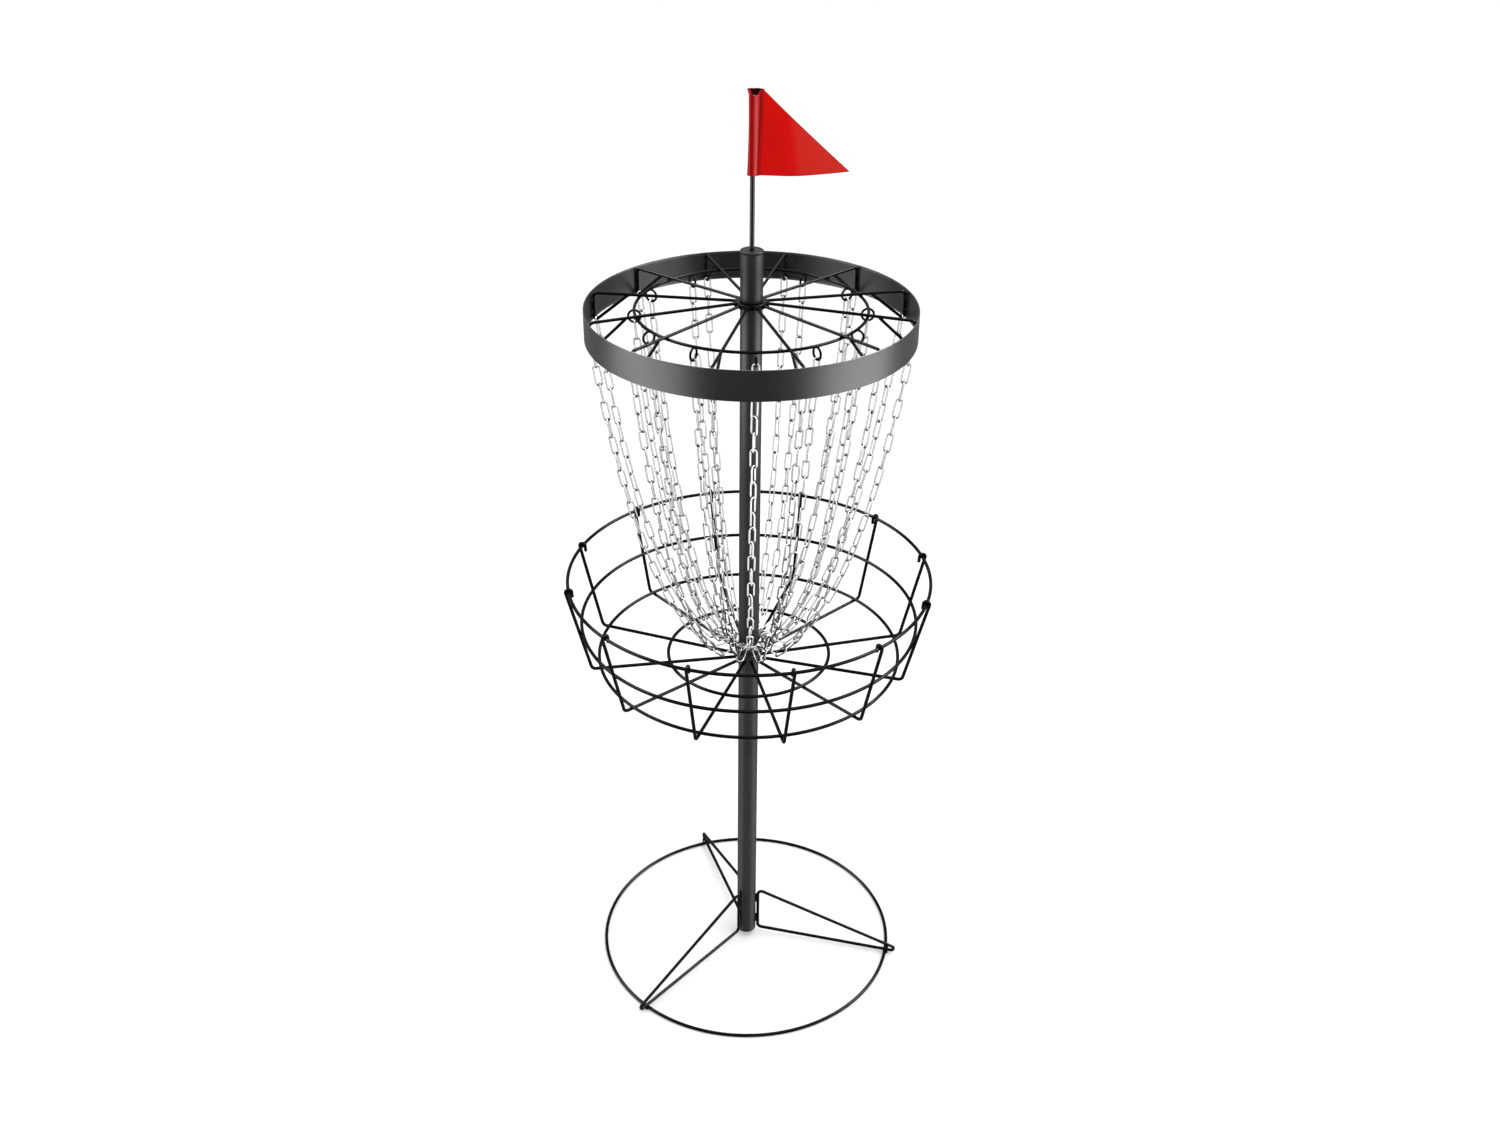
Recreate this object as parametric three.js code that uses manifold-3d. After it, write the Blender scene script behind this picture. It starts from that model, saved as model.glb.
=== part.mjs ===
// Portable disc golf basket: wire foot with three hooked legs, two-piece pole,
// catch basket, chain carrier with twenty-four chains, top sleeve and pennant.
// Millimetres and degrees, +Z up. The origin is on the pole axis at ground level,
// azimuths run from +X towards +Y, and the pennant points along +X.
// Profiles and centre lines are lists of (r, z): distance from the axis, height.

import * as THREE from 'three';
import { mergeVertices } from 'three/addons/utils/BufferGeometryUtils.js';
import Module from 'manifold-3d';

const wasm = await Module();
wasm.setup();

// ---------------------------------------------------------------- shared dimensions
const GAP = 0.3;                        // clearance kept between separate pieces
const WIRE_R = 2.5;                     // basket, legs, base ring
const SPOKE_R = 2.25;                   // carrier wire
const CROSSING = 2 * WIRE_R + GAP;      // centre spacing of two crossing wires

const POLE_R = 18.0;                    // outer radius of both pole tubes
const POLE_WALL = 1.5;
const POLE_BORE_R = POLE_R - POLE_WALL; // also the bore of the hubs and the top sleeve
const PLUG_FIT = 0.4;                   // radial play of a part plugged into that bore
const NECK_R = POLE_BORE_R - PLUG_FIT;  // reduced upper end of each pole tube
const POLE_SEGMENTS = 24;
const LOWER_SHOULDER_Z = 652.7;         // the basket hub rests here
const UPPER_SHOULDER_Z = 1313.6;        // the chain carrier hub rests here

// Ribs, spokes, loops and the chains of each row all come in twelves.
const AROUND = 12;
const PITCH = 360 / AROUND;
const SPOKE_AZ0 = 17.2;
const LOOP_AZ0 = SPOKE_AZ0 - PITCH / 2; // loops hang midway between spokes

// ---------------------------------------------------------------- materials
const standard = (color, roughness, metalness) =>
  new THREE.MeshStandardMaterial({ color, roughness, metalness });
const MATERIALS = {
  blackSteel: { color: 0x2b2b2c, roughness: 0.45, metalness: 0.35 },
  blackWire: { color: 0x18191a, roughness: 0.38, metalness: 0.3 },
  zincSteel: { color: 0xd4d6d8, roughness: 0.24, metalness: 1.0 },
  blackPlastic: { color: 0x1d1d1e, roughness: 0.55, metalness: 0.0 },
  redFabric: { color: 0xd0171a, roughness: 0.6, metalness: 0.0 },
};

// ---------------------------------------------------------------- solids and meshes
const DEG = Math.PI / 180;

// Welds a closed geometry into a Manifold solid, turned right side out.
function toSolid(geometry) {
  geometry.deleteAttribute('normal');
  geometry.deleteAttribute('uv');
  const welded = mergeVertices(geometry, 1e-4);
  const index = welded.index.array;
  const triangles = [];
  for (let i = 0; i < index.length; i += 3) {
    const [a, b, c] = [index[i], index[i + 1], index[i + 2]];
    if (a !== b && b !== c && a !== c) triangles.push([a, b, c]);
  }
  const build = (list) => new wasm.Manifold(new wasm.Mesh({
    numProp: 3,
    vertProperties: new Float32Array(welded.attributes.position.array),
    triVerts: new Uint32Array(list.flat()),
  }));
  const solid = build(triangles);
  return solid.volume() < 0 ? build(triangles.map(([a, b, c]) => [a, c, b])) : solid;
}

function toGeometry(solid) {
  const mesh = solid.getMesh();
  const geometry = new THREE.BufferGeometry();
  const positions = new Float32Array(mesh.vertProperties);
  geometry.setAttribute('position', new THREE.BufferAttribute(positions, 3));
  geometry.setIndex(new THREE.BufferAttribute(new Uint32Array(mesh.triVerts), 1));
  geometry.computeVertexNormals();
  return geometry;
}

const join = (solids) => solids.reduce((sum, solid) => sum.add(solid));

const basket = new THREE.Group();
basket.name = 'disc_golf_basket';

function piece(name, solid, materialName) {
  const { color, roughness, metalness } = MATERIALS[materialName];
  const mesh = new THREE.Mesh(toGeometry(solid), standard(color, roughness, metalness));
  mesh.name = name;
  basket.add(mesh);
}

const twoDigits = (number) => String(number).padStart(2, '0');

// ---------------------------------------------------------------- shape helpers
// A curve that is sampled exactly at its listed points, with mitred tangents.
class PointPath extends THREE.Curve {
  constructor(points) {
    super();
    this.points = points;
  }

  getPointAt(u) {
    return this.points[Math.round(u * (this.points.length - 1))].clone();
  }

  getTangentAt(u) {
    const last = this.points.length - 1;
    const i = Math.round(u * last);
    const here = this.points[i];
    const tangent = new THREE.Vector3();
    if (i > 0) tangent.add(here.clone().sub(this.points[i - 1]).normalize());
    if (i < last) tangent.add(this.points[i + 1].clone().sub(here).normalize());
    return tangent.normalize();
  }
}

// Round wire, as a regular polygon of the given corner radius, along 3D points.
function sweep(points, radius, sides) {
  const corners = Array.from({ length: sides }, (_, i) => {
    const angle = (2 * Math.PI * i) / sides;
    return new THREE.Vector2(radius * Math.cos(angle), radius * Math.sin(angle));
  });
  return toSolid(new THREE.ExtrudeGeometry(new THREE.Shape(corners), {
    steps: points.length - 1,
    bevelEnabled: false,
    extrudePath: new PointPath(points),
  }));
}

// Places (r, z) points in the vertical plane at an azimuth.
const inPlane = (points, az) => points.map(([r, z]) =>
  new THREE.Vector3(r * Math.cos(az * DEG), r * Math.sin(az * DEG), z));

// Points on an arc, both ends included; angles in radians.
function arcPoints([centreX, centreY], radius, start, turn, steps) {
  return Array.from({ length: steps + 1 }, (_, k) => {
    const angle = start + (turn * k) / steps;
    return [centreX + radius * Math.cos(angle), centreY + radius * Math.sin(angle)];
  });
}

// Rounds each inner corner of a 2D polyline; radii lists one value per inner corner.
function fillet(points, radii) {
  const rounded = [points[0]];
  radii.forEach((radius, i) => {
    const [x, y] = points[i + 1];
    const directionTo = ([toX, toY]) => {
      const length = Math.hypot(toX - x, toY - y);
      return [(toX - x) / length, (toY - y) / length];
    };
    const back = directionTo(points[i]);
    const ahead = directionTo(points[i + 2]);
    const halfTurn = (Math.PI - Math.acos(back[0] * ahead[0] + back[1] * ahead[1])) / 2;
    const tangentLength = radius * Math.tan(halfTurn);
    const bisector = [back[0] + ahead[0], back[1] + ahead[1]];
    const toCentre = radius / Math.cos(halfTurn) / Math.hypot(...bisector);
    const centre = [x + bisector[0] * toCentre, y + bisector[1] * toCentre];
    const angleTowards = ([dirX, dirY]) => Math.atan2(
      y + dirY * tangentLength - centre[1], x + dirX * tangentLength - centre[0]);
    const start = angleTowards(back);
    let turn = angleTowards(ahead) - start;
    if (turn > Math.PI) turn -= 2 * Math.PI;
    if (turn < -Math.PI) turn += 2 * Math.PI;
    rounded.push(...arcPoints(centre, radius, start, turn, 2));
  });
  rounded.push(points[points.length - 1]);
  return rounded;
}

// Turned solid from an (r, z) profile. A vertex column stands at azimuth az0.
function turned(profile, segments, az0 = 0) {
  const points = profile.map(([r, z]) => new THREE.Vector2(r, z));
  const geometry = new THREE.LatheGeometry(points, segments, (az0 + 90) * DEG, 2 * Math.PI);
  return toSolid(geometry.rotateX(Math.PI / 2));
}

// Turned collar of rectangular section.
function collar(inner, outer, [low, high], segments, az0) {
  const profile = [[inner, low], [outer, low], [outer, high], [inner, high], [inner, low]];
  return turned(profile, segments, az0);
}

// Corner radius of a polygon whose flats lie at the given radius.
const cornerRadius = (flatRadius, sides) => flatRadius / Math.cos(Math.PI / sides);

// Ring of round wire with a flat facet underneath.
function wireRing(r, z, wireCornerR, sides, segments, az0) {
  const profile = [];
  for (let i = 0; i <= sides; i++) {
    const angle = -Math.PI / 2 - Math.PI / sides + (2 * Math.PI * (i % sides)) / sides;
    profile.push([r + wireCornerR * Math.cos(angle), z + wireCornerR * Math.sin(angle)]);
  }
  return turned(profile, segments, az0);
}

function box([x0, x1], [y0, y1], [z0, z1]) {
  const geometry = new THREE.BoxGeometry(x1 - x0, y1 - y0, z1 - z0);
  return geometry.translate((x0 + x1) / 2, (y0 + y1) / 2, (z0 + z1) / 2);
}

// ---------------------------------------------------------------- base
const BASE_RING_R = 277.4;
const LEG_AZ0 = -11.7;
const LEG_AZ = [LEG_AZ0, LEG_AZ0 + 120, LEG_AZ0 - 120];
const LEG_BAR_R = 22.8;          // vertical bar beside the pole
const LEG_BAR_LOW = 17.5;
const LEG_BAR_HIGH = 112.0;
const LEG_BEND_R = 8;
const LEG_TIP_R = 297.0;         // outermost point of the hairpin
const HAIRPIN_R = 5.0;           // centre-line bend radius at the tip
const HAIRPIN_SINK = 0.45;       // hairpin sits this far below a full ring crossing
const LEG_END_OFFSET = 0.3;      // from the meeting height to either wire end
const HOOK_T = 3.0;              // hook plate thickness
const HOOK_H = 20.0;
const HOOK_Z = [30.0, 81.0];     // underside of each hook plate
const HOOK_WIRE_OVERLAP = 0.6;   // the plate stops this far short of the bar's centre line
const LIP_T = 2.4;
const LIP_DROP = 7.0;            // how far the lip hangs behind the pole wall
const LIP_OVERLAP = 1;           // lip's rise into the plate

// One bent wire: up the bar, out along the top, round the hairpin, back in
// underneath and up again. Its two ends meet behind the upper hook plate.
function legOutline() {
  const tip = [LEG_TIP_R - WIRE_R - HAIRPIN_R, WIRE_R + CROSSING + HAIRPIN_R - HAIRPIN_SINK];
  const meetZ = HOOK_Z[1] + HOOK_H / 2;
  // Where the wire from a corner meets the hairpin; side is +1 above, -1 below.
  const hairpinEnd = ([r, z], side) => {
    const slope = Math.atan2(tip[1] + side * HAIRPIN_R - z, tip[0] - r);
    return [
      tip[0] - side * HAIRPIN_R * Math.sin(slope),
      tip[1] + side * HAIRPIN_R * Math.cos(slope),
    ];
  };
  const angleOf = ([r, z]) => Math.atan2(z - tip[1], r - tip[0]);
  const highCorner = [LEG_BAR_R, LEG_BAR_HIGH];
  const lowCorner = [LEG_BAR_R, LEG_BAR_LOW];
  const highEnd = hairpinEnd(highCorner, 1);
  const lowEnd = hairpinEnd(lowCorner, -1);
  const start = angleOf(highEnd);
  const hairpin = arcPoints(tip, HAIRPIN_R, start, angleOf(lowEnd) - start, 5);
  return [
    ...fillet([[LEG_BAR_R, meetZ + LEG_END_OFFSET], highCorner, highEnd], [LEG_BEND_R]),
    ...hairpin.slice(1, -1),
    ...fillet([lowEnd, lowCorner, [LEG_BAR_R, meetZ - LEG_END_OFFSET]], [LEG_BEND_R]),
  ];
}

// Leg wire with its hook plates, whose lips hang inside the pole wall.
function legSolid() {
  const lipOuter = POLE_BORE_R - GAP;
  const lipInner = lipOuter - LIP_T;
  const thickness = [-HOOK_T / 2, HOOK_T / 2];
  const parts = [sweep(inPlane(legOutline(), 0), WIRE_R, 8)];
  for (const z of HOOK_Z) {
    const plate = box([lipInner, LEG_BAR_R - HOOK_WIRE_OVERLAP], thickness, [z, z + HOOK_H]);
    const lip = box([lipInner, lipOuter], thickness, [z - LIP_DROP, z + LIP_OVERLAP]);
    parts.push(toSolid(plate), toSolid(lip));
  }
  return join(parts);
}

// U-shaped wire just outside the base ring, with an arm on each side of a leg.
const CLIP_R = 1.5;
const CLIP_TOP_Z = 12.5;
const CLIP_GROUND_GAP = 0.2;
const CLIP_BEND_R = 2.6;
const CLIP_LEG_GAP = 0.6;
const CLIP_RING_GAP = GAP + 0.3;

function clipSolid() {
  const radial = BASE_RING_R + WIRE_R + CLIP_RING_GAP + CLIP_R;
  const half = WIRE_R + CLIP_LEG_GAP + CLIP_R;
  const lowZ = CLIP_R + CLIP_GROUND_GAP;
  const line = [[-half, CLIP_TOP_Z], [-half, lowZ], [half, lowZ], [half, CLIP_TOP_Z]];
  const points = fillet(line, [CLIP_BEND_R, CLIP_BEND_R])
    .map(([y, z]) => new THREE.Vector3(radial, y, z));
  return sweep(points, CLIP_R, 6);
}

function addBase() {
  const ring = wireRing(BASE_RING_R, WIRE_R, cornerRadius(WIRE_R, 8), 8, 48, LEG_AZ0);
  piece('base_ring', ring, 'blackWire');
  for (const [prefix, solid] of [['leg', legSolid()], ['ring_clip', clipSolid()]]) {
    LEG_AZ.forEach((az, i) => {
      piece(`${prefix}_${i + 1}`, solid.rotate([0, 0, az]), 'blackWire');
    });
  }
}

// ---------------------------------------------------------------- pole
const LOWER_NECK_TOP = 738.0;
const UPPER_BOTTOM_Z = 668.4;
const UPPER_NECK_TOP = 1384.0;
const BORE_TAPER = [3, 5];       // the bore narrows between these depths below a shoulder
const SLOT_W = 4.2;
const SLOT_H = 38.0;
const SLOT_DROP = 0.4;           // slot's foot below the hook plate
const SLOT_RADIAL = [11, 24];    // reach of the slot cutter through the wall
const FOOT_Z = 13.0;             // underside of the foot plug
const FOOT_FLANGE = 2.7;
const FOOT_CHAMFER = 1;
const FOOT_H = 7.5;
const FOOT_TAPER = 0.5;

function poleTube(bottom, shoulder, top) {
  const neckBore = NECK_R - POLE_WALL;
  return turned([
    [POLE_BORE_R, bottom], [POLE_R, bottom], [POLE_R, shoulder],
    [NECK_R, shoulder], [NECK_R, top], [neckBore, top],
    [neckBore, shoulder - BORE_TAPER[0]], [POLE_BORE_R, shoulder - BORE_TAPER[1]],
    [POLE_BORE_R, bottom],
  ], POLE_SEGMENTS);
}

// Lower tube, slotted for the leg hooks.
function lowerPole() {
  let pole = poleTube(FOOT_Z + FOOT_FLANGE + GAP, LOWER_SHOULDER_Z, LOWER_NECK_TOP);
  for (const az of LEG_AZ) {
    for (const hookZ of HOOK_Z) {
      const z = hookZ - SLOT_DROP;
      const slot = box(SLOT_RADIAL, [-SLOT_W / 2, SLOT_W / 2], [z, z + SLOT_H]);
      pole = pole.subtract(toSolid(slot.rotateZ(az * DEG)));
    }
  }
  return pole;
}

function footPlug() {
  const flangeTop = FOOT_Z + FOOT_FLANGE;
  const top = FOOT_Z + FOOT_H;
  const plugR = POLE_BORE_R - GAP;
  return turned([
    [0, FOOT_Z], [POLE_R - FOOT_CHAMFER, FOOT_Z], [POLE_R, FOOT_Z + FOOT_CHAMFER],
    [POLE_R, flangeTop], [plugR, flangeTop], [plugR - FOOT_TAPER, top], [0, top],
  ], POLE_SEGMENTS);
}

function addPole() {
  piece('lower_pole', lowerPole(), 'blackSteel');
  piece('foot_plug', footPlug(), 'blackPlastic');
  const upper = poleTube(UPPER_BOTTOM_Z, UPPER_SHOULDER_Z, UPPER_NECK_TOP);
  piece('upper_pole', upper, 'blackSteel');
}

// ---------------------------------------------------------------- catch basket
const RIB_AZ0 = 12.1;
const RIB_LEAN = [0, 0, 0, 7.5, 0, 0, 0, 0, 0, 5.0, 0, 0]; // sideways set at rim height
const HUB_R = 23.5;
const HUB_Z = [LOWER_SHOULDER_Z + GAP, 668.0];
const HUB_CHAMFER = 0.8;
const FLOOR_IN = [23.9, 656.2];  // rib centre line at the hub
const FLOOR_SLOPE = 0.0302;      // dz / dr; the floor rises outwards
const CORNER_R = 276.6;          // radius at which the floor height of the corner is taken
const CORNER_BEND_R = 9;
const WALL_REF = [280.5, 668.0]; // a point on the rib's wall line
const WALL_SLOPE = 0.2452;       // dr / dz
const RIM_RING = [313.1, 823.3];
const RIM_HOOK_TURN = Math.PI * 1.08;
const RIM_HOOK_TAIL = [[5, 1.2], [10, 1.6]]; // length back down the wall, outward factor
const MID_RING_Z = 740.1;
const LOWER_RING_R = 264.7;
const FLOOR_RING_R = 142.6;

const floorZ = (r) => FLOOR_IN[1] + FLOOR_SLOPE * (r - FLOOR_IN[0]);
const wallR = (z) => WALL_REF[0] + WALL_SLOPE * (z - WALL_REF[1]);
const wallNorm = Math.hypot(1, WALL_SLOPE);

function basketHub() {
  const [low, high] = HUB_Z;
  return turned([
    [POLE_BORE_R, low], [HUB_R - HUB_CHAMFER, low], [HUB_R, low + HUB_CHAMFER],
    [HUB_R, high - HUB_CHAMFER], [HUB_R - HUB_CHAMFER, high], [POLE_BORE_R, high],
    [POLE_BORE_R, low],
  ], POLE_SEGMENTS);
}

// Rib: floor, corner, wall, hook over the rim and a short tail inside it.
function ribOutline() {
  const cornerZ = floorZ(CORNER_R);
  const upWall = [WALL_SLOPE / wallNorm, 1 / wallNorm];
  const outward = [1 / wallNorm, -WALL_SLOPE / wallNorm];
  const hookStart = RIM_RING.map((value, k) => value + outward[k] * CROSSING);
  const line = fillet([FLOOR_IN, [wallR(cornerZ), cornerZ], hookStart], [CORNER_BEND_R]);
  const startAngle = Math.atan2(outward[1], outward[0]);
  const hook = arcPoints(RIM_RING, CROSSING, startAngle, RIM_HOOK_TURN, 5);
  const [endR, endZ] = hook[hook.length - 1];
  const tail = RIM_HOOK_TAIL.map(([length, shift]) =>
    [endR - upWall[0] * length + outward[0] * shift, endZ - upWall[1] * length]);
  return [...line, ...hook.slice(1), ...tail];
}

// Some ribs stand out of true: the wall leans sideways, more with height.
function ribPoints(outline, az, lean) {
  const side = new THREE.Vector3(-Math.sin(az * DEG), Math.cos(az * DEG), 0);
  const leanPerHeight = lean / (RIM_RING[1] - WALL_REF[1]);
  return inPlane(outline, az).map((point) =>
    point.addScaledVector(side, leanPerHeight * Math.max(0, point.z - WALL_REF[1])));
}

function addCatchBasket() {
  piece('basket_hub', basketHub(), 'blackSteel');
  const outline = ribOutline();
  RIB_LEAN.forEach((lean, i) => {
    const points = ribPoints(outline, RIB_AZ0 + PITCH * i, lean);
    piece(`basket_rib_${twoDigits(i + 1)}`, sweep(points, WIRE_R, 6), 'blackWire');
  });
  // name, r, z, segments
  const rings = [
    ['rim_ring', ...RIM_RING, 96],
    ['mid_ring', wallR(MID_RING_Z) - CROSSING * wallNorm, MID_RING_Z, 48],
    ['lower_ring', LOWER_RING_R, floorZ(LOWER_RING_R) + CROSSING, 48],
    ['floor_ring', FLOOR_RING_R, floorZ(FLOOR_RING_R) + CROSSING, 36],
  ];
  for (const [name, r, z, segments] of rings) {
    piece(name, wireRing(r, z, WIRE_R, 6, segments, RIB_AZ0), 'blackWire');
  }
}

// ---------------------------------------------------------------- chain carrier
const BAND_R = 265.0;
const BAND_T = 1.5;
const BAND_Z = [1265.7, 1314.8];
const CARRIER_HUB_R = 25.8;
const CARRIER_HUB_Z = [UPPER_SHOULDER_Z + GAP, 1322.1];
// Spoke centre line: hub, upper outer bend, lower outer bend, inner end.
const SPOKE_LINE = [[20.5, 1319.7], [260.9, 1311.9], [260.9, 1264.0], [203.5, 1312.2]];
const SPOKE_BENDS = [8, 3.5];
const CHAIN_RING_R = 184.7;
const LOOP_R = 9.75;
const LOOP_WIRE_R = 1.9;
const LOOP_DROP = 12.1;          // loop centre below the chain ring's centre line
const COLLECTOR_R = 27.0;
const COLLECTOR_WIRE_R = 2.0;
const COLLECTOR_Z = 690.0;

function spokeFrame() {
  const line = fillet(SPOKE_LINE, SPOKE_BENDS);
  const parts = [collar(POLE_BORE_R, CARRIER_HUB_R, CARRIER_HUB_Z, 24, SPOKE_AZ0)];
  for (let i = 0; i < AROUND; i++) {
    parts.push(sweep(inPlane(line, SPOKE_AZ0 + PITCH * i), SPOKE_R, 6));
  }
  return join(parts);
}

// Ring under the spokes with twelve hanging loops, each in a radial plane.
function chainRing() {
  const [[hubR, hubZ], [bendR, bendZ]] = SPOKE_LINE;
  const spokeZ = hubZ + ((bendZ - hubZ) * (CHAIN_RING_R - hubR)) / (bendR - hubR);
  const ringZ = spokeZ - 2 * SPOKE_R - GAP;
  const parts = [wireRing(CHAIN_RING_R, ringZ, SPOKE_R, 6, 36, SPOKE_AZ0)];
  for (let i = 0; i < AROUND; i++) {
    const loop = new THREE.TorusGeometry(LOOP_R, LOOP_WIRE_R, 5, 10);
    loop.rotateZ(Math.PI / 2);
    loop.rotateX(Math.PI / 2);
    loop.translate(CHAIN_RING_R, 0, ringZ - LOOP_DROP);
    parts.push(toSolid(loop.rotateZ((LOOP_AZ0 + PITCH * i) * DEG)));
  }
  return join(parts);
}

function addChainCarrier() {
  piece('deflector_band', collar(BAND_R - BAND_T, BAND_R, BAND_Z, 60, SPOKE_AZ0), 'blackSteel');
  piece('spoke_frame', spokeFrame(), 'blackWire');
  piece('chain_ring', chainRing(), 'blackWire');
  const collectorCorner = cornerRadius(COLLECTOR_WIRE_R, 6);
  const collector = wireRing(COLLECTOR_R, COLLECTOR_Z, collectorCorner, 6, 18, 0);
  piece('collector_ring', collector, 'zincSteel');
}

// ---------------------------------------------------------------- chains
// Each chain is a plain strand of the same weight per metre as its links.
// Slack is its length over the straight distance from top to low.
const STRAND_R = 2.6;
const STRAND_END = [31.8, 687.2];
const OUTER_CHAIN = { top: [257.4, 1264.3], low: [50.0, 678.5], slack: 1.022 };
const INNER_CHAIN = { top: [CHAIN_RING_R, 1284.4], low: [46.0, 680.0], slack: 1.018 };

// Catenary z = baseZ + scale * cosh((r - lowestR) / scale), in equal arc lengths.
function catenary({ top, low, slack }, steps) {
  const span = top[0] - low[0];
  const drop = top[1] - low[1];
  const length = Math.hypot(span, drop) * slack;
  const wanted = Math.sqrt(length * length - drop * drop);
  // Bisect for the scale that gives the wanted length.
  let lower = 5;
  let upper = 5000;
  for (let k = 0; k < 200; k++) {
    const middle = (lower + upper) / 2;
    if (2 * middle * Math.sinh(span / (2 * middle)) > wanted) lower = middle;
    else upper = middle;
  }
  const scale = (lower + upper) / 2;
  const lowestR = (top[0] + low[0]) / 2 - scale * Math.atanh(drop / length);
  const baseZ = low[1] - scale * Math.cosh((low[0] - lowestR) / scale);
  const arcAt = (r) => scale * Math.sinh((r - lowestR) / scale);
  const startArc = arcAt(top[0]);
  const endArc = arcAt(low[0]);
  return Array.from({ length: steps + 1 }, (_, k) => {
    const arc = startArc + ((endArc - startArc) * k) / steps;
    const r = lowestR + scale * Math.asinh(arc / scale);
    return [r, baseZ + scale * Math.cosh((r - lowestR) / scale)];
  });
}

function addChains(prefix, chain, az0) {
  const line = [...catenary(chain, 9), STRAND_END];
  for (let i = 0; i < AROUND; i++) {
    const strand = sweep(inPlane(line, az0 + PITCH * i), STRAND_R, 5);
    piece(`${prefix}_${twoDigits(i + 1)}`, strand, 'zincSteel');
  }
}

// ---------------------------------------------------------------- top sleeve, cap, flag
const TOP_TUBE_R = 18.2;
const TOP_TUBE_Z = [CARRIER_HUB_Z[1] + GAP, 1400.0];
const CAP_R = 19.0;
const CAP_TOP_Z = 1404.4;
const CAP_CHAMFER = [1.4, 1.2];  // r, z
const CAP_STEM_R = 8.0;
const CAP_STEM_Z = [1341.0, 1387.0];
const CAP_PLUG_LOW = 1388.0;     // lower edge of the wide plug above the stem
const SOCKET_FLOOR_Z = 1345.0;
const ROD_R = 3.6;
const ROD_Z = [1345.5, 1641.0];
const ROD_CHAMFER = 1;
const SOCKET_R = ROD_R + GAP;    // bore for the rod in the cap and the flag

const FLAG_Z = [1521.0, 1649.0];
const FLAG_T = 1.2;
const HEM_X = [-8.4, 14.3];      // extent of the stitched sleeve around the rod
// Half outline of the stitched sleeve, x and distance from its mid-plane.
const HEM_NOSE_CONTROL = [-4, 5.6];
const HEM_WIDEST = [1.5, 5.2];
const HEM_TAIL_CONTROL = [8, 3.2];
const FIELD_X = HEM_X[1] - 2.5;  // the field starts inside the sleeve
// Triangular field as x, z, with a slight bend in its lower edge.
const FIELD_OUTLINE = [
  [FIELD_X, FLAG_Z[0] + 0.4], [72, FLAG_Z[0] - 0.4],
  [145.5, 1526.5], [FIELD_X, FLAG_Z[1] - 0.6],
];

function cap() {
  const plugR = POLE_BORE_R - PLUG_FIT;
  const flangeLow = TOP_TUBE_Z[1] + GAP;
  return turned([
    [0, CAP_STEM_Z[0]], [CAP_STEM_R, CAP_STEM_Z[0]], [CAP_STEM_R, CAP_STEM_Z[1]],
    [plugR, CAP_PLUG_LOW], [plugR, flangeLow], [CAP_R, flangeLow],
    [CAP_R, CAP_TOP_Z - CAP_CHAMFER[1]], [CAP_R - CAP_CHAMFER[0], CAP_TOP_Z],
    [SOCKET_R, CAP_TOP_Z], [SOCKET_R, SOCKET_FLOOR_Z], [0, SOCKET_FLOOR_Z],
  ], POLE_SEGMENTS);
}

function flagRod() {
  const [low, high] = ROD_Z;
  return turned([
    [0, low], [ROD_R, low], [ROD_R, high - ROD_CHAMFER], [ROD_R - ROD_CHAMFER, high], [0, high],
  ], 12);
}

// Pennant: a stitched sleeve around the rod and a triangular field.
function flag() {
  const [noseX, noseY] = HEM_NOSE_CONTROL;
  const [wideX, wideY] = HEM_WIDEST;
  const [tailX, tailY] = HEM_TAIL_CONTROL;
  const hem = new THREE.Shape();
  hem.moveTo(HEM_X[0], 0);
  hem.quadraticCurveTo(noseX, -noseY, wideX, -wideY);
  hem.quadraticCurveTo(tailX, -tailY, HEM_X[1], -FLAG_T / 2);
  hem.lineTo(HEM_X[1], FLAG_T / 2);
  hem.quadraticCurveTo(tailX, tailY, wideX, wideY);
  hem.quadraticCurveTo(noseX, noseY, HEM_X[0], 0);
  hem.holes.push(new THREE.Path().absarc(0, 0, SOCKET_R, 0, 2 * Math.PI, true));
  const sleeve = new THREE.ExtrudeGeometry(hem, {
    depth: FLAG_Z[1] - FLAG_Z[0], bevelEnabled: false, curveSegments: 5, steps: 1,
  });
  sleeve.translate(0, 0, FLAG_Z[0]);

  const outline = new THREE.Shape(FIELD_OUTLINE.map(([x, z]) => new THREE.Vector2(x, z)));
  const field = new THREE.ExtrudeGeometry(outline, {
    depth: FLAG_T, bevelEnabled: false, steps: 1,
  });
  field.rotateX(Math.PI / 2);
  field.translate(0, FLAG_T / 2, 0);
  return join([toSolid(sleeve), toSolid(field)]);
}

function addTop() {
  const tube = collar(POLE_BORE_R, TOP_TUBE_R, TOP_TUBE_Z, POLE_SEGMENTS);
  piece('top_tube', tube, 'blackSteel');
  piece('cap', cap(), 'blackPlastic');
  piece('flag_rod', flagRod(), 'blackWire');
  piece('flag', flag(), 'redFabric');
}

// ---------------------------------------------------------------- assembly
addBase();
addPole();
addCatchBasket();
addChainCarrier();
addChains('chain_outer', OUTER_CHAIN, SPOKE_AZ0);
addChains('chain_inner', INNER_CHAIN, LOOP_AZ0);
addTop();

export default basket;
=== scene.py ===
"""A disc golf target: wire legs on a base ring, a two-part pole, a wire catch basket, a chain
carrier with a deflector band, 24 hanging chains and a red pennant on a rod.

The pole's axis is the Z axis and the floor is just under z = 0. Azimuths are degrees from +X
towards +Y. The camera stands on the -Y side. Shapes are worked out in millimetres."""
import functools
import math
import random
from math import pi

import bpy
import bmesh
import numpy as np
from mathutils import Matrix, Vector, noise


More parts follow.
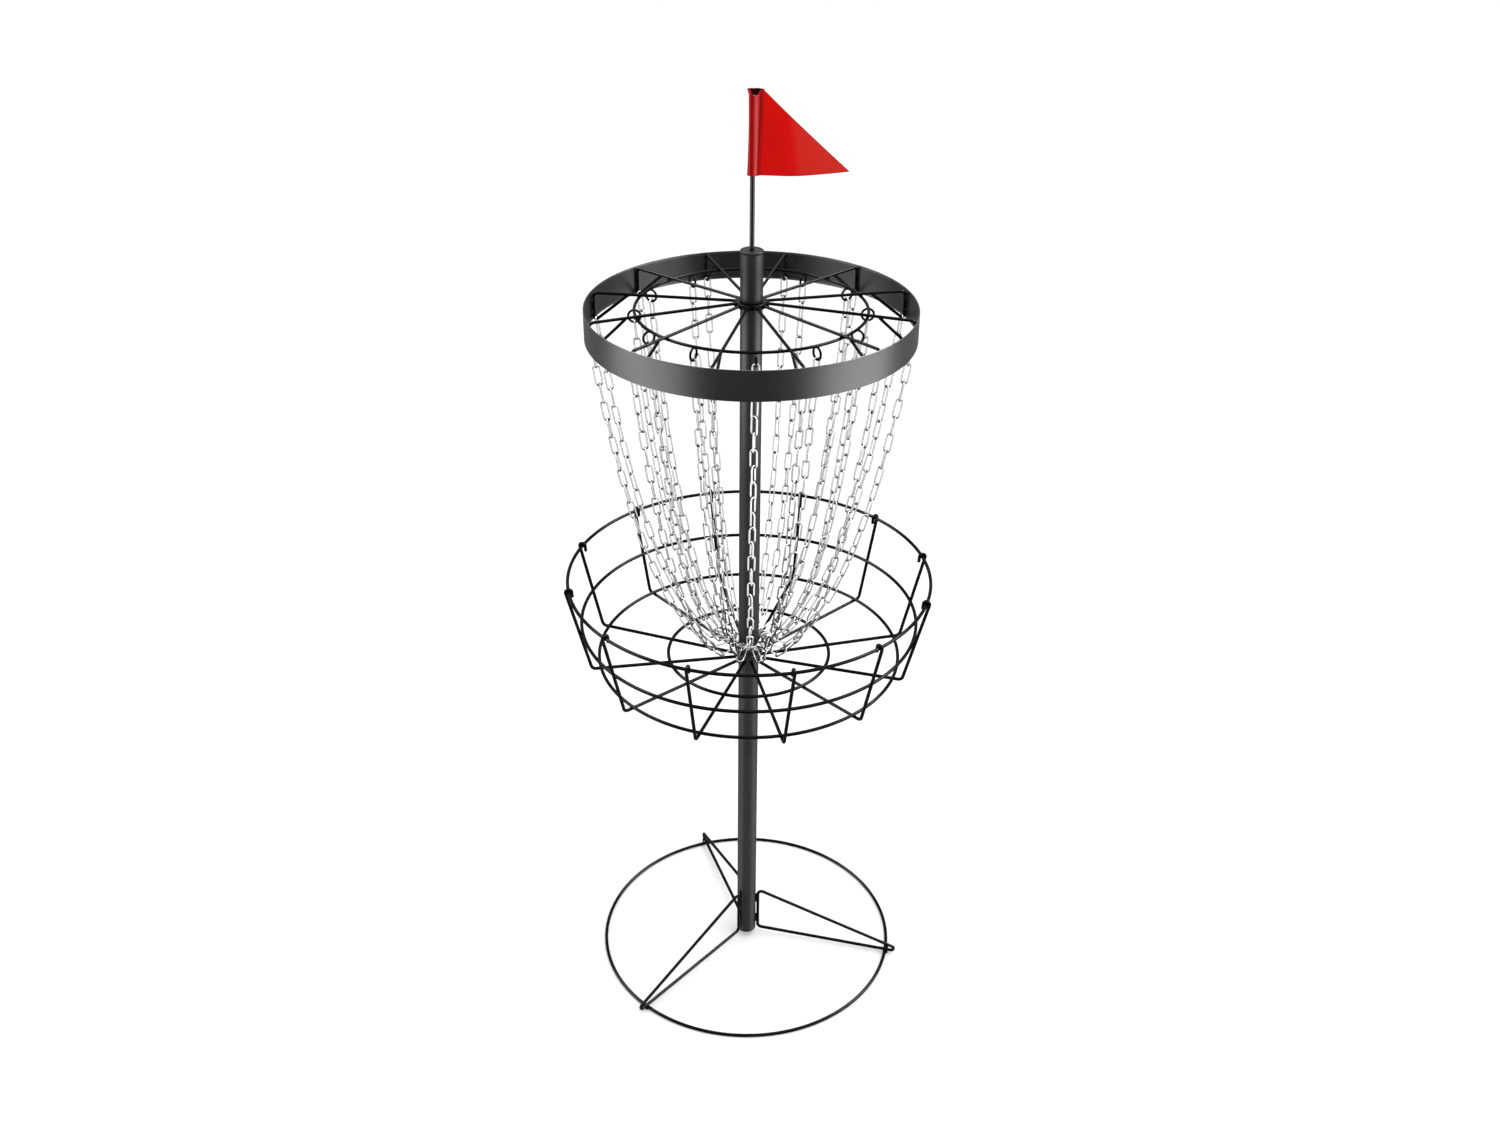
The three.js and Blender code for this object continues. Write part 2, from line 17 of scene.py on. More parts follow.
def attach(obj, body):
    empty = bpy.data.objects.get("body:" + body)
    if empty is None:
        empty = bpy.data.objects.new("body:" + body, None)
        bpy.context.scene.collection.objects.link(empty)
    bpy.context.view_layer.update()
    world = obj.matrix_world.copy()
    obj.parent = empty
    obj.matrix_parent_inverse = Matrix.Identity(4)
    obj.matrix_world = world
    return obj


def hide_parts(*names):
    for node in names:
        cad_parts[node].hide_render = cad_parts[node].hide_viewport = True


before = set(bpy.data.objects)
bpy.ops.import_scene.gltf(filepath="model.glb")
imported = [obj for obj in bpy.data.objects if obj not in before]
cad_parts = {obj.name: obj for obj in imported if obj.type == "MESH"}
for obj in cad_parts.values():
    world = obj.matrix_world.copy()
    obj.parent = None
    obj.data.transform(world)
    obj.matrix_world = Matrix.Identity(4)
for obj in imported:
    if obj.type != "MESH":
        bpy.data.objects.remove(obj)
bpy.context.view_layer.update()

scene = bpy.context.scene
AXIS = np.array([0.0, 0.0, 1.0])


# ---------------------------------------------------------------- shared dimensions (mm)
GAP = 0.3                      # clearance between neighbouring parts
POLE_R = 18.0
POLE_WALL = 1.5
POLE_IN_R = POLE_R - POLE_WALL
NECK_R = 16.1                  # the reduced top end of each tube
COLLAR_BORE = 16.5             # bore of the parts that slip over a neck
LOWER_SHOULDER = 652.7
UPPER_SHOULDER = 1313.6
WIRE_R = 2.5
SPOKE_R = 2.25
COAT = 0.48                    # dipped coating over the bare wire
COATED_WIRE = WIRE_R + COAT
COATED_SPOKE = SPOKE_R + 0.6 * COAT
CROSS = 2 * WIRE_R + GAP       # centre to centre of two crossing wires
LEG_AZIMUTHS = [-11.7 + 120 * i for i in range(3)]
TAB_BOTTOMS = (30.0, 81.0)     # the two hook plates of a leg
ROD_R = 3.92


# ---------------------------------------------------------------- shader graph
MIDDLE = (0.3, 0.7)            # the span that most noise values fall in


class Graph:
    """A node tree built anew. An input takes a value or a socket to link from."""

    def __init__(self, tree, output_kind):
        tree.nodes.clear()
        self.tree = tree
        self.output = self.add(output_kind)

    def add(self, kind, inputs=None, **settings):
        node = self.tree.nodes.new(kind)
        for name, value in settings.items():
            setattr(node, name, value)
        self.set(node, inputs or {})
        return node

    def set(self, node, inputs):
        for key, value in inputs.items():
            if isinstance(value, bpy.types.NodeSocket):
                self.tree.links.new(value, node.inputs[key])
            else:
                node.inputs[key].default_value = value

    def noise(self, scale, detail=2.0, rough=0.5, stretch=None):
        coord = self.coord
        if stretch:
            mapping = self.add("ShaderNodeMapping", {"Vector": coord, "Scale": stretch})
            coord = mapping.outputs["Vector"]
        inputs = {"Scale": scale, "Detail": detail, "Roughness": rough, "Vector": coord}
        return self.add("ShaderNodeTexNoise", inputs).outputs["Fac"]

    def cells(self, scale):
        return self.add("ShaderNodeTexVoronoi", {"Scale": scale, "Vector": self.coord})

    def position(self):
        return self.add("ShaderNodeSeparateXYZ", {0: self.coord}).outputs

    def attribute(self, name):
        return self.add("ShaderNodeAttribute", attribute_name=name).outputs["Fac"]

    def remap(self, value, span, to=(0.0, 1.0), smooth=False):
        node = self.add("ShaderNodeMapRange", {
            "From Min": span[0], "From Max": span[1], "To Min": to[0], "To Max": to[1],
            "Value": value})
        if smooth:
            node.interpolation_type = "SMOOTHSTEP"
        return node.outputs["Result"]

    def math(self, operation, *values):
        node = self.add("ShaderNodeMath", dict(enumerate(values)), operation=operation)
        return node.outputs[0]

    def total(self, first, second):
        return self.math("ADD", first, second)

    def product(self, first, second):
        return self.math("MULTIPLY", first, second)

    def mix(self, share, first, second):
        """Blends two colours, each an RGB tuple or a socket."""
        first, second = [
            colour if isinstance(colour, bpy.types.NodeSocket) else (*colour, 1.0)
            for colour in (first, second)]
        inputs = {0: share, 6: first, 7: second}
        return self.add("ShaderNodeMix", inputs, data_type="RGBA").outputs[2]

    def bump(self, height, distance, strength=1.0, over=None):
        inputs = {"Distance": distance, "Strength": strength, "Height": height}
        if over is not None:
            inputs["Normal"] = over
        return self.add("ShaderNodeBump", inputs).outputs["Normal"]

    def finish(self):
        """Sends the principled shader to the output and returns the material."""
        self.set(self.output, {"Surface": self.bsdf.outputs["BSDF"]})
        return self.material


def material_graph(name, textured=True):
    material = bpy.data.materials.new(name)
    material.use_nodes = True
    graph = Graph(material.node_tree, "ShaderNodeOutputMaterial")
    graph.material = material
    if textured:
        graph.coord = graph.add("ShaderNodeTexCoord").outputs["Object"]
    graph.bsdf = graph.add("ShaderNodeBsdfPrincipled")
    return graph


def scaled(colour, factor, lift=0.0):
    return tuple(channel * factor + lift for channel in colour)


# ---------------------------------------------------------------- materials
def powder_coat(name, base, worn, rough, peel, specular, high=None, inside=None):
    """Orange peel, cloudy gloss, dust, and rubbed spots where the wear attribute is high.

    high is (tone factor, specular) towards the top of a tube. inside is the specular factor
    of an inner face, which is marked by a wear of -1."""
    graph = material_graph(name)
    cloud = graph.noise(scale=14.0, detail=3.0)
    fine = graph.noise(scale=260.0, detail=4.0, rough=0.6)
    orange_peel = graph.noise(scale=1300.0, detail=1.5)
    speck = graph.noise(scale=900.0, detail=6.0, rough=0.75)
    scuff = graph.noise(scale=60.0, detail=6.0, rough=0.7)

    tone = graph.mix(graph.remap(cloud, MIDDLE), scaled(base, 0.86), scaled(base, 1.16))
    dust = graph.remap(scuff, span=(0.55, 0.8), to=(0.0, 0.22), smooth=True)
    tone = graph.mix(dust, tone, scaled(base, 2.1, lift=0.006))
    # painted shade: the tone darkens towards the top of a tube, and the specular rises there
    if high:
        top_shade_tone, high_specular = high
        height = graph.remap(graph.position()[2], span=(0.98, 1.24), smooth=True)
        tone = graph.mix(height, tone, scaled(base, top_shade_tone))

    # rubbed spots: the wear breaks through in specks
    wear_and_painted_light = graph.attribute("wear_and_painted_light")
    speckled = graph.total(graph.product(wear_and_painted_light, 0.34), graph.product(speck, 0.75))
    mask = graph.remap(speckled, span=(0.66, 0.76), to=(0.0, 0.85), smooth=True)
    mask = graph.product(mask, graph.remap(wear_and_painted_light, span=(0.0, 0.3), smooth=True))
    colour = graph.mix(mask, tone, worn)

    roughness = graph.total(
        graph.remap(fine, MIDDLE, to=(rough - 0.05, rough + 0.06)),
        graph.remap(cloud, MIDDLE, to=(-0.025, 0.03)))
    roughness = graph.total(roughness, graph.product(dust, 0.25))
    graph.set(graph.bsdf, {
        "Base Color": colour, "Roughness": roughness,
        "Metallic": graph.product(mask, 0.7), "Specular IOR Level": specular})
    if high:
        level = graph.remap(height, span=(0.0, 1.0), to=(specular, high_specular))
        graph.set(graph.bsdf, {"Specular IOR Level": level})
    if inside:
        level = graph.remap(
            wear_and_painted_light, span=(-1.0, -0.2), to=(specular * inside, specular), smooth=True)
        graph.set(graph.bsdf, {"Specular IOR Level": level})

    normal = graph.bump(orange_peel, distance=peel)
    normal = graph.bump(fine, distance=peel * 0.8, over=normal)
    normal = graph.bump(graph.product(mask, -1.0), distance=0.00003, over=normal)
    graph.set(graph.bsdf, {"Normal": normal})
    return graph.finish()


def zinc(name, base, dark, metal, rough, shade_facing_span, edge):
    """Bright plate with a faint spangle, and dark marks where links meet: rubbing grime and
    painted contact shade.

    flank is the span of facing over which the wire darkens to the grey level edge; this
    darkening is painted shade."""
    graph = material_graph(name)
    spangle = graph.cells(scale=420.0)
    cell = graph.add("ShaderNodeSeparateColor", {"Color": spangle.outputs["Color"]}).outputs
    haze = graph.noise(scale=120.0, detail=4.0, rough=0.6)
    fine = graph.noise(scale=1800.0, detail=3.0, rough=0.6)

    tone = graph.mix(graph.remap(haze, span=(0.35, 0.75), to=(0.0, 0.8)), base, dark)
    tone = graph.mix(graph.product(cell[0], 0.22), tone, scaled(base, 0.8))
    # painted shade: the wire's colour darkens where it turns away from the eye
    facing = graph.add("ShaderNodeLayerWeight", {"Blend": 0.5}).outputs["Facing"]
    tone = graph.mix(
        graph.remap(facing, shade_facing_span, smooth=True), tone, (edge, edge * 1.02, edge * 1.06))

    # rubbing grime and painted contact shade: near-black where the links meet
    wear_and_painted_light = graph.attribute("wear_and_painted_light")
    grime_and_contact_shade = graph.product(
        graph.remap(wear_and_painted_light, span=(0.03, 0.28), smooth=True),
        graph.remap(haze, span=(0.2, 0.6), to=(0.8, 1.0)))
    colour = graph.mix(grime_and_contact_shade, tone, (0.009, 0.009, 0.010))

    roughness = graph.total(
        graph.remap(haze, MIDDLE, to=(rough - 0.06, rough + 0.08)),
        graph.product(grime_and_contact_shade, 0.22))
    roughness = graph.total(roughness, graph.product(cell[1], 0.05))
    normal = graph.bump(fine, distance=0.00002)
    normal = graph.bump(haze, distance=0.00004, over=normal)
    graph.set(graph.bsdf, {
        "Base Color": colour, "Roughness": roughness, "Metallic": metal, "Normal": normal})
    return graph.finish()


def plastic(name, base, rough):
    """Moulded plastic: fine eroded grain and faint flow marks."""
    graph = material_graph(name)
    grain = graph.cells(scale=1700.0).outputs["Distance"]
    flow = graph.noise(scale=45.0, detail=3.0, rough=0.55, stretch=(1.0, 1.0, 4.0))
    tone = graph.mix(graph.remap(flow, MIDDLE), scaled(base, 0.85), scaled(base, 1.2))
    wear_and_painted_light = graph.attribute("wear_and_painted_light")
    patches = graph.noise(scale=700.0, detail=5.0, rough=0.7)
    rub = graph.product(
        wear_and_painted_light, graph.remap(patches, span=(0.45, 0.65), to=(0.0, 0.6), smooth=True))
    normal = graph.bump(grain, distance=0.00003)
    graph.set(graph.bsdf, {
        "Base Color": graph.mix(rub, tone, scaled(base, 3.0, lift=0.01)),
        "Roughness": graph.remap(flow, MIDDLE, to=(rough - 0.05, rough + 0.07)),
        "Specular IOR Level": 0.10,
        "Normal": graph.bump(flow, distance=0.00003, over=normal)})
    return graph.finish()


def cloth(name, base, light, painted_light_tone, deep, specular):
    """Plain-woven nylon: crossed threads, slubs, and a little light through the sheet.

    light tints the slubs. On cloth the wear attribute carries painted light and shade and the
    darker hems: it runs from -1, where the cloth takes the pale colour as painted light, to 1,
    where it takes the deep one."""
    thread_pitch = 0.00042
    graph = material_graph(name)
    place = graph.position()
    wave_number = 2 * pi / thread_pitch
    wave_x = graph.math("SINE", graph.product(place[0], wave_number))
    wave_z = graph.math("SINE", graph.product(place[2], wave_number))
    weave = graph.product(wave_x, wave_z)
    slub_z = graph.noise(scale=600.0, detail=3.0, rough=0.6, stretch=(1.0, 1.0, 0.08))
    slub_x = graph.noise(scale=600.0, detail=3.0, rough=0.6, stretch=(0.08, 1.0, 1.0))
    broad = graph.noise(scale=22.0, detail=3.0)

    tone = graph.mix(graph.remap(broad, MIDDLE), scaled(base, 0.94), scaled(base, 1.05))
    slubs = graph.remap(graph.total(slub_z, slub_x), span=(0.85, 1.25), to=(0.0, 0.22))
    tone = graph.mix(slubs, tone, light)
    threads = graph.remap(weave, span=(-1.0, 1.0), to=(0.0, 0.10))
    tone = graph.mix(threads, tone, scaled(base, 0.6))
    # painted light and shade: the pale colour is a painted highlight, the deep one paints shade
    # and darkens the hems
    wear_and_painted_light = graph.attribute("wear_and_painted_light")
    tone = graph.mix(graph.remap(wear_and_painted_light, span=(0.0, -1.0)), tone, painted_light_tone)
    tone = graph.mix(graph.remap(wear_and_painted_light, span=(0.0, 1.0)), tone, deep)

    graph.set(graph.bsdf, {
        "Base Color": tone,
        "Roughness": graph.remap(weave, span=(-1.0, 1.0), to=(0.42, 0.55)),
        "Specular IOR Level": specular, "Sheen Weight": 0.01, "Sheen Roughness": 0.35,
        "Sheen Tint": (1.0, 0.55, 0.52, 1.0)})
    normal = graph.bump(weave, distance=0.00002)
    normal = graph.bump(graph.total(slub_z, slub_x), distance=0.00005, over=normal)
    rumple = graph.noise(scale=70.0)
    normal = graph.bump(rumple, distance=0.0005, strength=0.35, over=normal)
    graph.set(graph.bsdf, {"Normal": normal})

    through = graph.add("ShaderNodeBsdfTranslucent", {"Color": tone, "Normal": normal})
    through_share = 0.12
    both = graph.add("ShaderNodeMixShader", {
        0: through_share, 1: graph.bsdf.outputs["BSDF"], 2: through.outputs["BSDF"]})
    graph.set(graph.output, {"Surface": both.outputs[0]})
    return graph.material


def thread(name):
    graph = material_graph(name)
    twist = graph.noise(scale=2600.0, stretch=(1.0, 1.0, 0.5))
    graph.set(graph.bsdf, {
        "Base Color": graph.mix(twist, (0.115, 0.002, 0.002), (0.20, 0.005, 0.005)),
        "Roughness": 0.7, "Specular IOR Level": 0.08, "Sheen Weight": 0.02,
        "Normal": graph.bump(twist, distance=0.0001)})
    return graph.finish()


FINISHES = {
    "band": (powder_coat(
        "band_powder_coat", base=(0.0092, 0.0092, 0.0094), worn=(0.10, 0.10, 0.103),
        rough=0.34, peel=0.00003, specular=0.86, inside=0.40), "black_powder_coat"),
    # painted shade: high darkens the pole towards its top
    "pole": (powder_coat(
        "pole_powder_coat", base=(0.0265, 0.0265, 0.0270), worn=(0.12, 0.12, 0.123),
        rough=0.38, peel=0.00004, specular=0.10, high=(0.42, 0.56)), "black_powder_coat"),
    "wire": (powder_coat(
        "wire_powder_coat", base=(0.0016, 0.0016, 0.0017), worn=(0.030, 0.030, 0.031),
        rough=0.15, peel=0.00003, specular=0.050), "black_coated_wire"),
    "rod": (powder_coat(
        "rod_lacquer", base=(0.0025, 0.0025, 0.0026), worn=(0.08, 0.08, 0.082),
        rough=0.20, peel=0.00002, specular=0.62), "black_coated_wire"),
    "plate": (powder_coat(
        "hook_plate_coat", base=(0.0080, 0.0080, 0.0082), worn=(0.09, 0.09, 0.092),
        rough=0.36, peel=0.00004, specular=0.30), "black_coated_wire"),
    # edge is the colour of the painted shade where a wire turns away from the eye
    "zinc": (zinc(
        "bright_zinc", base=(0.83, 0.835, 0.845), dark=(0.58, 0.585, 0.595),
        metal=0.34, rough=0.24, shade_facing_span=(0.10, 0.50), edge=0.014), "zinc_chain"),
    # painted light: a lighter copy of the zinc, for the front chain and the collector ring
    "zinc_with_painted_light": (zinc(
        "lighter_zinc_painted_light", base=(0.955, 0.96, 0.965), dark=(0.86, 0.865, 0.875),
        metal=0.22, rough=0.20, shade_facing_span=(0.50, 0.92), edge=0.03), "zinc_chain"),
    "cap": (plastic(
        "moulded_black_plastic", base=(0.0120, 0.0120, 0.0124), rough=0.40), "black_plastic"),
    # the pale colour is painted light beyond the crease; the deep one darkens the needle line as
    # painted shade, and the hems
    "cloth": (cloth(
        "red_nylon", base=(0.575, 0.0026, 0.0014), light=(0.62, 0.010, 0.008),
        painted_light_tone=(0.545, 0.022, 0.016), deep=(0.22, 0.0016, 0.0014), specular=0.05),
        "red_flag_cloth"),
    # painted shade and light: a darker copy of the red nylon for the sleeve, with a pink painted
    # highlight and a near-black painted shade
    "sleeve": (cloth(
        "red_nylon_doubled_painted_shade", base=(0.43, 0.0040, 0.0036), light=(0.47, 0.012, 0.011),
        painted_light_tone=(0.50, 0.072, 0.075), deep=(0.030, 0.0006, 0.0006), specular=0.03),
        "red_flag_cloth"),
    "thread": (thread("red_thread"), "red_flag_cloth"),
}


# ---------------------------------------------------------------- building meshes
# A part is one closed shell: (vertices, list of face index arrays, wear per vertex).
def outward(part):
    """Turns a part's faces to point outwards, by the sign of its volume."""
    verts, faces, wear_and_painted_light = part
    triangles = np.vstack([
        rows[:, [0, k, k + 1]] for rows in faces for k in range(1, rows.shape[1] - 1)])
    first, second, third = (verts[triangles[:, k]] - verts.mean(0) for k in range(3))
    if np.einsum("ij,ij->i", first, np.cross(second, third)).sum() < 0:
        faces = [rows[:, ::-1] for rows in faces]
    return verts, faces, wear_and_painted_light


def join(parts):
    """Joins parts into one set of vertices in metres, faces and wear."""
    all_verts, all_faces, all_wear_and_painted_light = [], [], []
    start = 0
    for verts, faces, wear_and_painted_light in map(outward, parts):
        all_verts.append(verts)
        all_faces += [rows + start for rows in faces]
        all_wear_and_painted_light.append(wear_and_painted_light)
        start += len(verts)
    return np.vstack(all_verts) * 0.001, all_faces, np.concatenate(all_wear_and_painted_light)


def shade_smooth(mesh, angle):
    mesh.polygons.foreach_set("use_smooth", np.ones(len(mesh.polygons), bool))
    mesh.set_sharp_from_angle(angle=math.radians(angle))


def build(name, parts, finish, body, replaces=None, angle=38.0):
    verts, faces, wear_and_painted_light = join(parts)
    sizes = np.concatenate([np.full(len(rows), rows.shape[1]) for rows in faces])
    corners = np.concatenate([rows.ravel() for rows in faces])
    starts = np.concatenate([[0], np.cumsum(sizes)[:-1]])
    mesh = bpy.data.meshes.new(name)
    mesh.vertices.add(len(verts))
    mesh.vertices.foreach_set("co", verts.astype(np.float32).ravel())
    mesh.loops.add(len(corners))
    mesh.loops.foreach_set("vertex_index", corners.astype(np.int32))
    mesh.polygons.add(len(sizes))
    mesh.polygons.foreach_set("loop_start", starts.astype(np.int32))
    mesh.update(calc_edges=True)
    mesh.validate()
    attribute = mesh.attributes.new("wear_and_painted_light", "FLOAT", "POINT")
    attribute.data.foreach_set("value", wear_and_painted_light.astype(np.float32))
    material, slot = FINISHES[finish]
    mesh.materials.append(material)
    shade_smooth(mesh, angle)
    obj = bpy.data.objects.new(name, mesh)
    scene.collection.objects.link(obj)
    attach(obj, body)
    if replaces:
        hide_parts(replaces)
    return obj


# ---------------------------------------------------------------- curves and places
def unit(vector):
    vector = np.asarray(vector, float)
    return vector / np.linalg.norm(vector)


def unit_rows(rows):
    return rows / np.maximum(np.linalg.norm(rows, axis=-1, keepdims=True), 1e-12)


def wrap(value, period):
    """The value brought to within half a period of zero."""
    return (value + period / 2) % period - period / 2


def bell(value, centre, width):
    return np.exp(-(((value - centre) / width) ** 2))


def smooth(value):
    value = np.clip(value, 0.0, 1.0)
    return value * value * (3 - 2 * value)


def circle_angles(count):
    return 2 * pi * np.arange(count) / count


def stations(first):
    """Twelve azimuths, 30 degrees apart."""
    return [first + 30 * i for i in range(12)]


def axes_at(azimuth):
    """The radial and the tangent direction at an azimuth."""
    angle = math.radians(azimuth)
    radial = np.array([math.cos(angle), math.sin(angle), 0.0])
    return radial, np.array([-math.sin(angle), math.cos(angle), 0.0])


def point(azimuth, radius, z, side=0.0):
    """The point or points at a radius and height, moved sideways along the tangent."""
    radial, tangent = axes_at(azimuth)
    outer = np.multiply.outer
    return outer(radius, radial) + outer(side, tangent) + outer(z, AXIS)


def arc(centre, radius, start, sweep_angle, count):
    angles = [start + sweep_angle * k / count for k in range(count + 1)]
    return [centre + radius * np.array([math.cos(a), math.sin(a)]) for a in angles]


def corner_arc(before, corner, after, radius, count, reach=math.inf):
    """An arc that rounds a corner. reach limits how much of the shorter side it takes up."""
    corner = np.array(corner, float)
    back = np.array(before, float) - corner
    ahead = np.array(after, float) - corner
    limit = reach * min(np.linalg.norm(back), np.linalg.norm(ahead))
    back = unit(back)
    ahead = unit(ahead)
    turn = pi - math.acos(max(-1, min(1, float(back @ ahead))))
    setback = radius * math.tan(turn / 2)
    if setback > limit:
        radius *= limit / setback
        setback = limit
    centre = corner + unit(back + ahead) * (radius / math.cos(turn / 2))
    first = corner + back * setback
    last = corner + ahead * setback
    start = math.atan2(first[1] - centre[1], first[0] - centre[0])
    end = math.atan2(last[1] - centre[1], last[0] - centre[0])
    return arc(centre, radius, start, wrap(end - start, 2 * pi), count)


def fillet(points, radii, count):
    """Rounds the inner corners of an open polyline, one radius each."""
    rows = [points[0]]
    for i, radius in enumerate(radii, 1):
        rows += corner_arc(points[i - 1], points[i], points[i + 1], radius, count)
    rows.append(points[-1])
    return np.array(rows, float)


def round_loop(points, radii, count=5):
    """Rounds every corner of a closed polygon, one radius each."""
    rows = []
    for i, radius in enumerate(radii):
        after = points[(i + 1) % len(points)]
        rows += corner_arc(points[i - 1], points[i], after, radius, count, reach=0.49)
    return np.array(rows)


def subdivide(points, step=12.0):
    rows = [points[0]]
    for start, end in zip(points[:-1], points[1:]):
        count = max(1, int(math.ceil(np.linalg.norm(end - start) / step)))
        rows += [start + (end - start) * (i + 1) / count for i in range(count)]
    return np.array(rows)


def loop_area(loop):
    """Signed area of a closed loop."""
    x, y = loop.T
    return 0.5 * np.sum(x * np.roll(y, -1) - np.roll(x, -1) * y)


def ring_section(inner, outer, z_span, radii, count=6):
    """Rounded rectangle (radius, z), with corner radii from inner bottom to inner top."""
    low, high = z_span
    return round_loop([(inner, low), (outer, low), (outer, high), (inner, high)], radii, count)


# ---------------------------------------------------------------- solid parts
def grid_faces(rings, sides, closed):
    ring = np.arange(rings if closed else rings - 1)[:, None] * sides
    side = np.arange(sides)[None, :]
    here = ring + side
    beside = ring + (side + 1) % sides
    total = rings * sides
    faces = [here, beside, (beside + sides) % total, (here + sides) % total]
    return np.stack(faces, -1).reshape(-1, 4)


def sweep(points, radius, binormal, sides=16, closed=False, wear_and_painted_light=0.0, bulge=1.0):
    """Round wire along a plane curve whose plane has the normal binormal.

    bulge scales the radius at each point. An open wire gets softened ends."""
    points = np.asarray(points, float)
    count = len(points)
    binormal = unit(binormal)
    if closed:
        tangents = np.roll(points, -1, 0) - np.roll(points, 1, 0)
    else:
        tangents = np.empty_like(points)
        tangents[1:-1] = (
            unit_rows(points[1:-1] - points[:-2]) + unit_rows(points[2:] - points[1:-1]))
        tangents[0] = points[1] - points[0]
        tangents[-1] = points[-1] - points[-2]
    tangents = unit_rows(tangents)
    normals = unit_rows(np.cross(binormal, tangents))
    radii = np.full(count, radius, float) * bulge
    wear_and_painted_light = np.zeros(count) + wear_and_painted_light

    if not closed:
        # three end rings replace the points that lie too near an end
        depth = radius * 0.30
        steps = depth * np.array([0.0, 0.22, 1.0])
        shrink = np.array([0.62, 0.85, 1.0])
        index = np.arange(count)
        from_start = np.linalg.norm(points - points[0], axis=1)
        from_end = np.linalg.norm(points - points[-1], axis=1)
        near_start = (index < 4) & (from_start < depth * 1.2)
        near_end = (index > count - 5) & (from_end < depth * 1.2)
        keep = ~(near_start | near_end)
        points = np.vstack([
            points[0] + np.outer(steps, tangents[0]), points[keep],
            points[-1] - np.outer(steps[::-1], tangents[-1])])
        normals = np.vstack([[normals[0]] * 3, normals[keep], [normals[-1]] * 3])
        radii = np.concatenate([radii[0] * shrink, radii[keep], radii[-1] * shrink[::-1]])
        wear_and_painted_light = np.concatenate([
            [max(wear_and_painted_light[0], 0.7)] * 3, wear_and_painted_light[keep], [max(wear_and_painted_light[-1], 0.7)] * 3])
        count = len(points)

    angles = 2 * pi * (np.arange(sides) + 0.5) / sides
    spokes = (np.cos(angles)[None, :, None] * normals[:, None, :]
              + np.sin(angles)[None, :, None] * binormal)
    verts = (points[:, None, :] + radii[:, None, None] * spokes).reshape(-1, 3)
    vert_wear = np.repeat(wear_and_painted_light, sides)
    faces = [grid_faces(count, sides, closed)]
    if not closed:
        verts = np.vstack([verts, points[0], points[-1]])
        vert_wear = np.concatenate([vert_wear, [wear_and_painted_light[0], wear_and_painted_light[-1]]])
        side = np.arange(sides)
        beside = (side + 1) % sides
        centre = np.full(sides, count * sides)
        last = (count - 1) * sides
        faces.append(np.stack([centre, beside, side], -1))
        faces.append(np.stack([centre + 1, last + side, last + beside], -1))
    return verts, faces, vert_wear


def lathe(profile, segments, wear_and_painted_light=0.0):
    """Turns a closed (radius, z) loop about the axis. A point on the axis is one vertex."""
    profile = np.asarray(profile, float)
    wear_and_painted_light = np.zeros(len(profile)) + wear_and_painted_light
    if loop_area(profile) < 0:
        profile = profile[::-1]
        wear_and_painted_light = wear_and_painted_light[::-1]
    angles = circle_angles(segments)
    on_axis = profile[:, 0] < 1e-6
    verts, vert_wear, rings = [], [], []
    start = 0
    for (radius, z), level, single in zip(profile, wear_and_painted_light, on_axis):
        if single:
            ring = np.array([[0.0, 0.0, z]])
            rings.append(np.full(segments, start))
        else:
            ring = np.stack(
                [radius * np.cos(angles), radius * np.sin(angles), np.full(segments, z)], -1)
            rings.append(start + np.arange(segments))
        verts.append(ring)
        vert_wear += [level] * len(ring)
        start += len(ring)
    quads, triangles = [], []
    for k, here in enumerate(rings):
        after = (k + 1) % len(rings)
        there = rings[after]
        here_next = np.roll(here, -1)
        there_next = np.roll(there, -1)
        if on_axis[k] and on_axis[after]:
            continue
        if on_axis[k]:
            triangles.append(np.stack([here, there_next, there], -1))
        elif on_axis[after]:
            triangles.append(np.stack([here, here_next, there], -1))
        else:
            quads.append(np.stack([here, here_next, there_next, there], -1))
    return np.vstack(verts), quads + triangles, np.array(vert_wear)


def wire_ring(radius, z, wire, segments, weld_azimuth, wear_at):
    """A level ring of wire, thicker at its butt weld. wear_at gives the wear by degrees."""
    angles = circle_angles(segments)
    points = np.stack(
        [radius * np.cos(angles), radius * np.sin(angles), np.full(segments, z)], -1)
    from_weld = wrap(angles - math.radians(weld_azimuth), 2 * pi) * radius
    bulge = (1 + 0.10 * bell(from_weld, 0, 2.2)
             + 0.03 * bell(from_weld, 0, 5.0) * np.sin(from_weld * 2.1))
    wear_and_painted_light = wear_at(np.degrees(angles))
    return sweep(points, wire, AXIS, closed=True, wear_and_painted_light=wear_and_painted_light, bulge=bulge)


def spots(phase, width, level, pitch=30, rest=0.04):
    """Wear by azimuth that peaks at every pitch from the phase."""
    return lambda degrees: level * bell(wrap(degrees - phase, pitch), 0, width) + rest


@functools.cache
def icosphere(level):
    ball = bmesh.new()
    bmesh.ops.create_icosphere(ball, subdivisions=level, radius=1.0)
    verts = np.array([vert.co[:] for vert in ball.verts])
    faces = np.array([[vert.index for vert in face.verts] for face in ball.faces])
    ball.free()
    return verts, faces


def bead(centre, axes, radii, seed, level=2, rough=0.16):
    """A weld bead: a lumpy blob with three radii along three axes."""
    base, faces = icosphere(level)
    offset = Vector((seed * 3.71, seed * 1.37 + 5.0, seed * 2.13))
    lumps = np.array([
        1.0 + rough * noise.noise(Vector(vert) * 1.7 + offset)
        + rough * 0.4 * noise.noise(Vector(vert) * 4.3 + offset) for vert in base])
    local = base * lumps[:, None] * np.asarray(radii)
    rotation = np.stack([unit(axis) for axis in axes], 1)
    return np.asarray(centre) + local @ rotation.T, [faces], np.full(len(base), 0.25)


